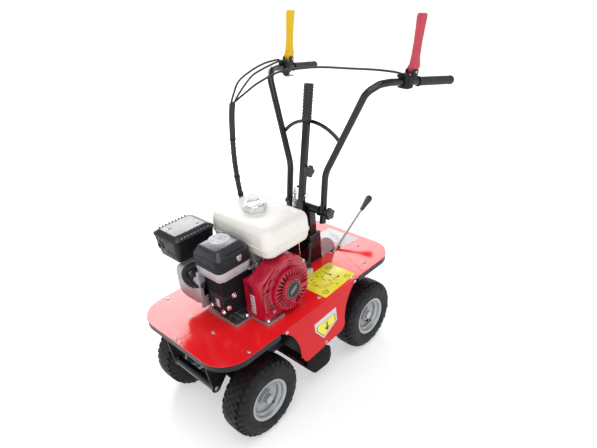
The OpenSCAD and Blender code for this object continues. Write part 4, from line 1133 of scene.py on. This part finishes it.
def make_balance_spring():
    """Chromed helical spring round its rod, between two eyes."""
    foot, head = Vector((-40, 193, 671.5)), Vector((-40, 208, 771))
    rod = sweep([foot, head], 3.2, 16)
    coil = []
    turns, steps = 13, 16
    coil_r, wire_r = 7.2, 1.7
    for k in range(turns * steps + 1):
        t = k / (turns * steps)
        a = 2 * math.pi * k / steps
        p = foot.lerp(head, 0.15 + 0.70 * t)
        coil.append(p + Vector((coil_r * math.cos(a), coil_r * math.sin(a), 0)))
    ends = (foot + Vector((0, 0, 8)), head - Vector((0, 0, 8)))
    eyes = [round_collar(3, 8, -3, 3, Matrix.Translation(p) @ ALONG_X, 24, 0.8) for p in ends]
    finish_piece("balance_spring_coil", [rod, sweep(coil, wire_r, 8), *eyes], CHROME, "chassis",
                 ["balance_spring"])


def make_depth_lever():
    """Flat bar, round upper rod and cross arm in one weldment, with a ribbed grip."""
    flat = box(-15, 15, -8, 8, -14, 474, 0, 2, DEPTH_FRAME)
    rod = round_bar(12, 470, 600, DEPTH_FRAME, 32)
    hub = round_collar(8.2, 17, -15, 15, DEPTH_FRAME @ ALONG_X, 40, 1.5)
    lug = round_bar(5, -30, -14, DEPTH_FRAME @ shift(0, 0, 190) @ ALONG_X, 24, 0.8)
    y, z = LEVER_PIVOT
    crank = plate([soft_corners([(y, z - 15), (y, z + 15), (y - 150, z + 11), (y - 160, z),
                                 (y - 150, z - 11)], 4)], -6, 6, FACING_X, 1.5)
    pin = round_bar(6, 4, 18, shift(0, y - 150, z) @ ALONG_X, 24, 0.8)
    finish_piece("depth_lever_bar", [flat, rod, hub, lug, crank, pin], GLOSS_BLACK, "depth_arm",
                 ["depth_lever"], 35)
    profile = [(12, 474), (19, 474.5), (20, 477)]
    for k in range(10):
        low = 482 + k * 13
        profile += [(20, low), (20, low + 8), (18, low + 9.5), (18, low + 11)]
    profile += [(20, 613), (18.5, 616), (14, 617), (0, 617)]
    sleeve = turned(profile, 0.8, DEPTH_FRAME, 48, fine=2)
    finish_piece("depth_lever_grip", sleeve, GRIP_RUBBER, "depth_arm", ["depth_grip"], 40)
    angles = [2 * math.pi * k / 12 for k in range(12)]
    ring = lathe([(8 + 2.2 * math.cos(a), 2.2 * math.sin(a)) for a in angles],
                 DEPTH_FRAME @ shift(20, 6, 160) @ ALONG_X, 32, closed=True)
    finish_piece("depth_lever_ring", ring, CHROME, "depth_arm")


def knob_mesh(matrix):
    """Five-lobed clamping knob with a dished top."""
    high = 19.4
    lobes = []
    for k in range(80):
        a = 2 * math.pi * k / 80
        r = 24.1 + 2.7 * math.cos(5 * a)
        lobes.append((r * math.cos(a), r * math.sin(a)))
    head = plate([lobes], 0, high, matrix, 4.5, 5)
    cup = turned([(0, high - 1), (11, high - 1), (11, high + 0.4), (8, high + 0.6), (7, high - 0.6),
                  (0, high - 0.8)], 0.5, matrix, 32)
    return joined([head, cup])


def make_knobs():
    """The depth lever's and the handlebar's clamping knobs."""
    on_lever = DEPTH_FRAME @ shift(0, 0, 268) @ ALONG_X
    finish_piece("lever_clamp_knob", knob_mesh(on_lever @ shift(0, 0, 23) @ turn(14, "Z")), MOULDED_DARK,
                 "clamp_knob", ["lever_knob"])
    boss = round_bar(8, 15.4, 24, on_lever, 32, 0.6)
    finish_piece("lever_clamp_boss", boss, BRIGHT_STEEL, "clamp_knob")
    on_bar = shift(116.3, *BAR_PIVOT) @ ALONG_X
    finish_piece("bar_clamp_knob", knob_mesh(on_bar @ shift(0, 0, 7) @ turn(30, "Z")), MOULDED_DARK,
                 "tilt_knob", ["bar_knob"])
    boss = round_bar(8, 0, 8, on_bar, 32, 0.6)
    finish_piece("bar_clamp_boss", boss, BRIGHT_STEEL, "tilt_knob")


def make_gear_lever():
    """Thin steel rod with a tapered moulded knob."""
    stick = sweep([GEAR_FRAME @ Vector((0, y, 0)) for y in range(8, 301, 12)], 5.8, 20)
    hub = round_collar(5.9, 11, -6, 6, GEAR_FRAME @ ALONG_X, 32, 0.8)
    finish_piece("gear_stick_rod", [stick, hub], GEAR_ROD, "gear_stick", ["gear_lever"])
    knob = turned([(0, 282), (8.5, 282), (10, 285), (11.5, 308), (16, 342), (17, 354), (15, 362),
                   (9.5, 367.2), (0, 368)], 3, GEAR_FRAME @ ALONG_Y, 40, fine=4)
    finish_piece("gear_stick_knob", knob, MOULDED_DARK, "gear_stick")


# ---------- cutter ----------


def make_blade():
    """U-shaped blade with two windowed arms and a ground edge."""
    outline = soft_corners([(-98, 192), (-98, 292), (-2, 292), (-2, 200), (62, 150), (64, 100), (52, 72),
                            (34, 66), (20, 66), (-42, 70), (-80, 120), (-80, 192)],
                           [6, 8, 8, 6, 14, 22, 16, 8, 8, 22, 20, 4], 6)
    arm = [outline, box_outline(-77, -23, 212, 268, 3)]
    parts = [plate(arm, 238, 246, FACING_X, 1.2), plate(arm, 238, 246, MIRROR @ FACING_X, 1.2)]
    floor = [(-50, 78), (-46, 71), (30, 66), (36, 66.6), (36, 70), (30, 72), (-42, 77)]
    parts.append(plate([floor], -239, 239, FACING_X, 0.6, 2))
    finish_piece("blade_forging", parts, BLADE_BLACK, "cutter_blade", ["blade"], 30)
    edge = plate([[(-51, 77.6), (-46, 70.6), (-34, 70.2), (-38, 77.9)]], -236, 236, FACING_X, 0.2, 1)
    finish_piece("blade_edge", edge, BRIGHT_STEEL, "cutter_blade")


def make_chain():
    """Roller chain round both sprockets."""
    a, b = Vector((245, 300)), Vector((320, 160))
    ra, rb = 22.5, 58  # pitch radii of the two sprockets
    link_pitch, roller_r = 12.7, 3.4
    d = b - a
    along = math.atan2(d.y, d.x)
    lead = math.acos((ra - rb) / d.length)
    pts = []
    for k in range(41):
        t = along + lead + k * (2 * math.pi - 2 * lead) / 40
        pts.append(a + ra * Vector((math.cos(t), math.sin(t))))
    for k in range(41):
        t = along - lead + k * 2 * lead / 40
        pts.append(b + rb * Vector((math.cos(t), math.sin(t))))
    lengths = [0.0]
    ring = pts + [pts[0]]
    for p, q in zip(ring, ring[1:]):
        lengths.append(lengths[-1] + (q - p).length)
    count = round(lengths[-1] / link_pitch / 2) * 2
    links = []
    spots = []
    for k in range(count):
        s = lengths[-1] * k / count
        i = max(j for j in range(len(lengths) - 1) if lengths[j] <= s + 1e-9)
        t = (s - lengths[i]) / max(1e-9, lengths[i + 1] - lengths[i])
        spots.append(ring[i].lerp(ring[i + 1], t))
    for k, p in enumerate(spots):
        q = spots[(k + 1) % count]
        mid = (p + q) / 2
        angle = math.degrees(math.atan2(q.y - p.y, q.x - p.x))
        out = 0.0 if k % 2 else 1.3
        for side in (62.4 - out, 72.2 + out):
            links.append(plate([slot_outline(mid.x, mid.y, 20, 8.5, angle)], side, side + 1.2, FACING_X,
                               0.3, 1))
        links.append(round_bar(roller_r, 61.2, 74.6, shift(0, p.x, p.y) @ ALONG_X, 12))
    finish_piece("roller_chain", links, OILED_STEEL, "chassis", ["drive_chain"])


# ---------- handlebar ----------

TUBE_R = 14
BEND_RADII = [130, 55, 45, 60]
TUBE_END = GRIP_FRAME @ Vector((0, 352, 0))
TUBE_POINTS = [(98, 219, 640), (98, 250, 850), (252, 322, 1180), (284, 362, 1206), tuple(GRIP_BEND),
               tuple(TUBE_END)]


def make_handlebar():
    """Two bent tubes on the pivot, joined by an arched brace."""
    path = bent_path(TUBE_POINTS, BEND_RADII, 10)
    parts = []
    for mirror in BOTH:
        parts.append(sweep(path, TUBE_R, 32, matrix=mirror))
        plug = round_bar(14.6, -2, 2, mirror @ shift(98, 219, 640), 32, 0.8)
        parts.append(plug)
        boss = round_collar(8.2, 15, 84.2, 111.5, mirror @ shift(0, *BAR_PIVOT) @ ALONG_X, 32, 1)
        parts.append(boss)
    arch_r, arch_y, arch_z = 211, 288, 833
    brace = [(arch_r * math.sin(math.radians(a)), arch_y, arch_z + arch_r * math.cos(math.radians(a)))
             for a in range(-46, 47, 2)]
    parts.append(sweep(brace, 8, 24))
    finish_piece("handlebar_tube", parts, GLOSS_BLACK, "tilt_bar", ["handlebar"], 40)


def make_grips():
    """Moulded grips with a flange, finger grooves and a domed end."""
    profile = [(14.05, 150), (19.5, 150), (20, 151.5), (19.5, 154), (17, 156)]
    for k in range(7):
        y = 166 + k * 22
        profile += [(17, y), (17, y + 14), (15.8, y + 17), (15.8, y + 19)]
    profile += [(17, 330), (17.4, 336), (17.4, 347), (15, 351), (10, 352), (0, 352)]
    for side, mirror in SIDES:
        mesh = turned(profile, 1.4, mirror @ GRIP_FRAME @ ALONG_Y, 48, fine=3)
        finish_piece(f"{side}_grip_sleeve", mesh, GRIP_RUBBER, "tilt_bar",
                     ["handlebar_grips"] if side == "left" else (), 45)


def make_housings():
    """A clamp with lever ears on each bar, and the throttle's pod on the right one."""
    for side, mirror in SIDES:
        base = mirror @ GRIP_FRAME
        across = base @ ALONG_Y @ turn(180, "Z")
        clamp = plate([box_outline(-21, 21, -24, 25, 9)], 62, 106, across, 3, 4)
        upper = plate([box_outline(-15, 15, 20, 32, 3)], 56, 104, across @ MIRROR, 2, 3)
        nose = turned([(0, 38), (5.5, 38), (6.5, 44), (6.5, 64), (0, 64)], 1.0,
                      base @ shift(0, 0, 23) @ ALONG_Y, 24)
        ear = [(96, 8), (96, 44), (104, 48), (120, 48), (125, 40), (122, 20), (112, 8)]
        ears = [plate([soft_corners(ear, 4)], x0, x0 + 6.5, base @ FACING_X, 1.2) for x0 in (-21, 14.5)]
        strap = plate([box_outline(-23, 23, -26, 27, 10), circle(0, 0, 14.1, 40)], 76, 90, across, 1.5, 2)
        finish_piece(f"{side}_lever_housing", [clamp, upper, nose, *ears, strap], TEXTURED_BLACK,
                     "tilt_bar", ["lever_housings"] if side == "left" else (), 35)
        pin = turned([(0, -22.5), (5, -22.5), (5, -21), (3, -21), (3, 21), (5, 21), (5, 22.5), (0, 22.5)],
                     0.4, base @ Matrix.Translation(SQUEEZE_PIN) @ ALONG_X, 20)
        bolt = [screw(base @ shift(x, 84, 27.4), 3.6, 3, "hex") for x in (-17, 17)]
        finish_piece(f"{side}_housing_hardware", [pin, *bolt], ZINC, "tilt_bar")
    base = MIRROR @ GRIP_FRAME
    pod = plate([box_outline(-13, 13, 82, 108, 6)], -34, -18, base, 3, 3)
    finish_piece("throttle_pod", pod, TEXTURED_BLACK, "tilt_bar")
    red_button = turned([(0, 25), (8, 25), (8, 31), (6, 33), (0, 33)], 1.0, base @ shift(10, 70, 0), 24)
    finish_piece("right_red_switch", red_button, LEVER_RED, "tilt_bar")


def squeeze_outline():
    """Side outline of a squeeze lever, leaning back, as (y, z)."""
    return soft_corners([(-8, 3), (-5, -9), (7, -8), (12, 2), (24, 18), (28, 50), (37, 102), (47, 150),
                         (54, 190), (52, 200), (36, 200), (31, 188), (23, 150), (14, 103), (5, 60),
                         (-1, 26), (-9, 18)], [4, 6, 6, 4, 8, 20, 30, 30, 6, 4, 4, 8, 30, 30, 20, 8, 4], 5)


def make_squeeze_levers():
    """Blade levers with a hooked root and a flared tip."""
    def width_share(z):
        """How much wider the blade is at its root and towards its tip."""
        return 1.1 + 0.4 * max(0.0, min(1.0, (z - 130) / 55)) + 0.55 * max(0.0, min(1.0, (52 - z) / 34))

    for side, mirror, mat, slot, node, body in (
            ("red", HERE, LEVER_RED, "lever_red", "red_lever", "cutter_clutch"),
            ("yellow", MIRROR, LEVER_YELLOW, "lever_yellow", "yellow_lever", "drive_clutch")):
        place = mirror @ SQUEEZE_FRAME
        mesh = plate([squeeze_outline(), circle(0, 0, 3.1, 20)], -12, 12, place @ FACING_X, 4.2, 5)
        back = (ROW @ place).inverted()
        for v in mesh.vertices:
            p = back @ v.co
            p.x *= width_share(p.z)
            v.co = ROW @ place @ p
        finish_piece(f"{side}_squeeze_lever", mesh, mat, body, [node], 30)
        rivet = round_bar(4.6, -21.4, -19.4, place @ ALONG_X, 20, 0.3)
        finish_piece(f"{side}_lever_rivet", rivet, ZINC, body)


def make_throttle():
    """Small red thumb paddle under the right housing."""
    place = MIRROR @ GRIP_FRAME @ shift(0, 100, -41)
    shape = soft_corners([(-13, -8), (-13, 8), (-7, 14), (-6, 52), (6, 52), (7, 14), (13, 8), (13, -8),
                          (0, -13)], [6, 6, 6, 5, 5, 6, 6, 6, 8], 5)
    paddle = plate([shape, circle(0, 0, 3.05, 20)], 0, 6, place, 1.8, 4)
    finish_piece("throttle_paddle", paddle, LEVER_RED, "throttle", ["throttle_lever"])


# ---------- cables ----------

CABLE_R = 4.1
SLEEVE_R = 11.0
SLEEVE = [(-190, 50, 1150), (-190, 38, 1095), (-190, 28, 1010), (-190, 23, 930), (-190, 24, 850),
          (-190, 30, 770), (-188, 42, 690), (-182, 60, 610), (-174, 78, 540), (-168, 90, 480),
          (-166, 94, 440)]
RED_CLUTCH = [(316, 450, 1231), (303, 436, 1237), (292, 424, 1241), (230, 404, 1246), (150, 360, 1252),
              (50, 289, 1262), (-40, 200, 1260), (-110, 134, 1224), (-155, 92, 1185), (-180, 60, 1158),
              (-186, 46, 1150)]
YELLOW_CLUTCH = [(-303, 432, 1237), (-301, 405, 1240), (-294, 330, 1240), (-266, 229, 1232),
                 (-232, 130, 1214), (-206, 76, 1180), (-197, 50, 1150)]
THROTTLE = [(-296, 432, 1232), (-294, 400, 1231), (-286, 349, 1227), (-272, 285, 1222), (-256, 225, 1214),
            (-226, 150, 1192), (-200, 84, 1164), (-188, 58, 1150)]


def make_cables():
    """Three cables that run from the bars into one ribbed sleeve down to the deck."""
    def ribbed(t):
        return SLEEVE_R + 0.6 * math.sin(t * 700 / 3)

    bundle = sweep(smooth_path(SLEEVE, 26), ribbed, 18)
    cover = sweep(smooth_path(SLEEVE[:3], 8), SLEEVE_R + 1, 18)
    lines = [sweep(smooth_path(route, 12), CABLE_R, 14) for route in (RED_CLUTCH, YELLOW_CLUTCH, THROTTLE)]
    piece = finish_piece("cable_run", [bundle, cover, *lines], CABLE_SHEATH, None,
                         ["control_cables"], 60)
    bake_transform(piece)
    ties = []
    for z, i in ((1068, 2), (846, 4), (770, 5)):
        p = Vector(SLEEVE[i])
        ring = round_collar(11.4, 13.4, -2.6, 2.6, Matrix.Translation(p), 32, 0.5)
        tail = sweep([p + Vector((9, -2, 0)), p + Vector((14, -5, 3)), p + Vector((22, -9, 9))], 1.6, 8,
                     flat=0.5)
        ties += [ring, tail]
    piece = finish_piece("cable_ties", ties, TEXTURED_BLACK, None)
    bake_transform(piece)
    boot = turned([(11, 430), (19, 430), (19, 433), (15, 437), (13.5, 446), (11, 446)], 1.5,
                  shift(-166, 94, 0), 40, closed=True)
    finish_piece("cable_deck_grommet", boot, GRIP_RUBBER, "chassis")


# ---------- studio ----------


def make_floor():
    """A round pale floor with no horizon: its rim sweeps up far away and glows a little more out there."""
    rim = [(24 + 8 * math.sin(math.radians(a)), 8 - 8 * math.cos(math.radians(a)))
           for a in range(0, 91, 10)]
    bm = bmesh.new()
    sides = 96
    rings = [[bm.verts.new((x, y, z)) for x, y in circle(0, 0, r, sides)] for r, z in rim + [(32, 12)]]
    bm.faces.new(rings[0])
    for low, high in zip(rings, rings[1:]):
        for k in range(sides):
            n = (k + 1) % sides
            bm.faces.new((low[n], low[k], high[k], high[n]))
    bmesh.ops.recalc_face_normals(bm, faces=bm.faces)
    mesh = bpy.data.meshes.new("floor")
    bm.to_mesh(mesh)
    bm.free()
    for p in mesh.polygons:
        p.use_smooth = len(p.vertices) == 4
    floor = bpy.data.objects.new("studio_floor", mesh)
    mat = bpy.data.materials.new("studio_floor")
    mat.use_nodes = True
    nodes, links = mat.node_tree.nodes, mat.node_tree.links
    bsdf = nodes["Principled BSDF"]
    bsdf.inputs["Base Color"].default_value = (0.80, 0.80, 0.80, 1)
    bsdf.inputs["Roughness"].default_value = 0.8
    bsdf.inputs["Specular IOR Level"].default_value = 0.1
    bsdf.inputs["Emission Color"].default_value = (1, 1, 1, 1)
    coords = nodes.new("ShaderNodeTexCoord")
    reach = nodes.new("ShaderNodeVectorMath")
    reach.operation = "LENGTH"
    links.new(coords.outputs["Object"], reach.inputs[0])
    lift = nodes.new("ShaderNodeMapRange")
    lift.inputs["From Min"].default_value = 1.0
    lift.inputs["From Max"].default_value = 6.0
    lift.inputs["To Min"].default_value = 0.42
    lift.inputs["To Max"].default_value = 0.58
    links.new(reach.outputs["Value"], lift.inputs["Value"])
    links.new(lift.outputs["Result"], bsdf.inputs["Emission Strength"])
    mesh.materials.append(mat)
    bpy.context.scene.collection.objects.link(floor)


def softbox(name, place, target, width, height, watts, spin=0.0):
    """A flat lamp at place, facing target, turned by spin degrees about its own axis."""
    light = bpy.data.lights.new(name, "AREA")
    light.shape = "RECTANGLE"
    light.size = width
    light.size_y = height
    light.energy = watts
    obj = bpy.data.objects.new(name, light)
    obj.location = place
    obj.rotation_mode = "QUATERNION"
    facing = (Vector(place) - Vector(target)).to_track_quat("Z", "Y")
    obj.rotation_quaternion = facing @ Quaternion((0, 0, 1), math.radians(spin))
    bpy.context.scene.collection.objects.link(obj)


def make_studio():
    """Floor, even sky, two soft lamps and three level cards."""
    make_floor()
    world = bpy.data.worlds.new("studio")
    world.use_nodes = True
    world.node_tree.nodes["Background"].inputs["Color"].default_value = (0.94, 0.97, 1.0, 1)
    world.node_tree.nodes["Background"].inputs["Strength"].default_value = 0.42
    bpy.context.scene.world = world
    softbox("over_light", (0.9, -0.9, 3.6), (0, 0, 0.5), 2.6, 2.6, 46)
    softbox("key_light", (3.2, -2.2, 2.4), (0, 0, 0.5), 1.4, 1.8, 20)
    # level cards above and behind, mirrored in the front left deck, the engine's flat tops and the rear deck
    softbox("deck_card", (-2.957, 1.005, 2.396), (-2.957, 1.005, 0), 2.6, 0.8, 62, -56.2)
    softbox("engine_card", (-2.30, 1.36, 2.396), (-2.30, 1.36, 0), 0.7, 0.9, 20)
    softbox("rear_card", (-2.198, 2.857, 2.396), (-2.198, 2.857, 0), 1.6, 1.0, 34)


def make_camera():
    """Camera at the product view, looking down from the front left."""
    azimuth, elevation, roll = math.radians(45.2), math.radians(28.2), math.radians(-4.56)
    place = at(1374, -1193, 1659)
    back = Vector((math.sin(azimuth) * math.cos(elevation), -math.cos(azimuth) * math.cos(elevation),
                   math.sin(elevation)))
    level = Vector((math.cos(azimuth), math.sin(azimuth), 0))
    right = level * math.cos(roll) + back.cross(level) * math.sin(roll)
    up = back.cross(right)
    matrix = Matrix((right, up, back)).transposed().to_4x4()
    matrix.translation = place
    data = bpy.data.cameras.new("camera")
    data.lens = 30.76
    data.sensor_width = 36
    camera = bpy.data.objects.new("camera", data)
    camera.matrix_world = matrix
    bpy.context.scene.collection.objects.link(camera)
    bpy.context.scene.camera = camera


for make in (make_camera, make_studio, dress_cad_nodes, make_fasteners, make_front_bar, make_deck_labels,
             make_wheels, make_fan_cover, make_recoil, make_starter_grip, make_cylinder, make_cylinder_head,
             make_muffler, make_air_cleaner, make_carburettor, make_tank, make_cap, make_belt_guard,
             make_engine_feet, make_column, make_balance_spring, make_depth_lever, make_knobs,
             make_gear_lever, make_blade, make_chain, make_handlebar, make_grips, make_housings,
             make_squeeze_levers, make_throttle, make_cables):
    make()

bpy.context.scene.view_settings.view_transform = "Standard"
bpy.context.view_layer.update()
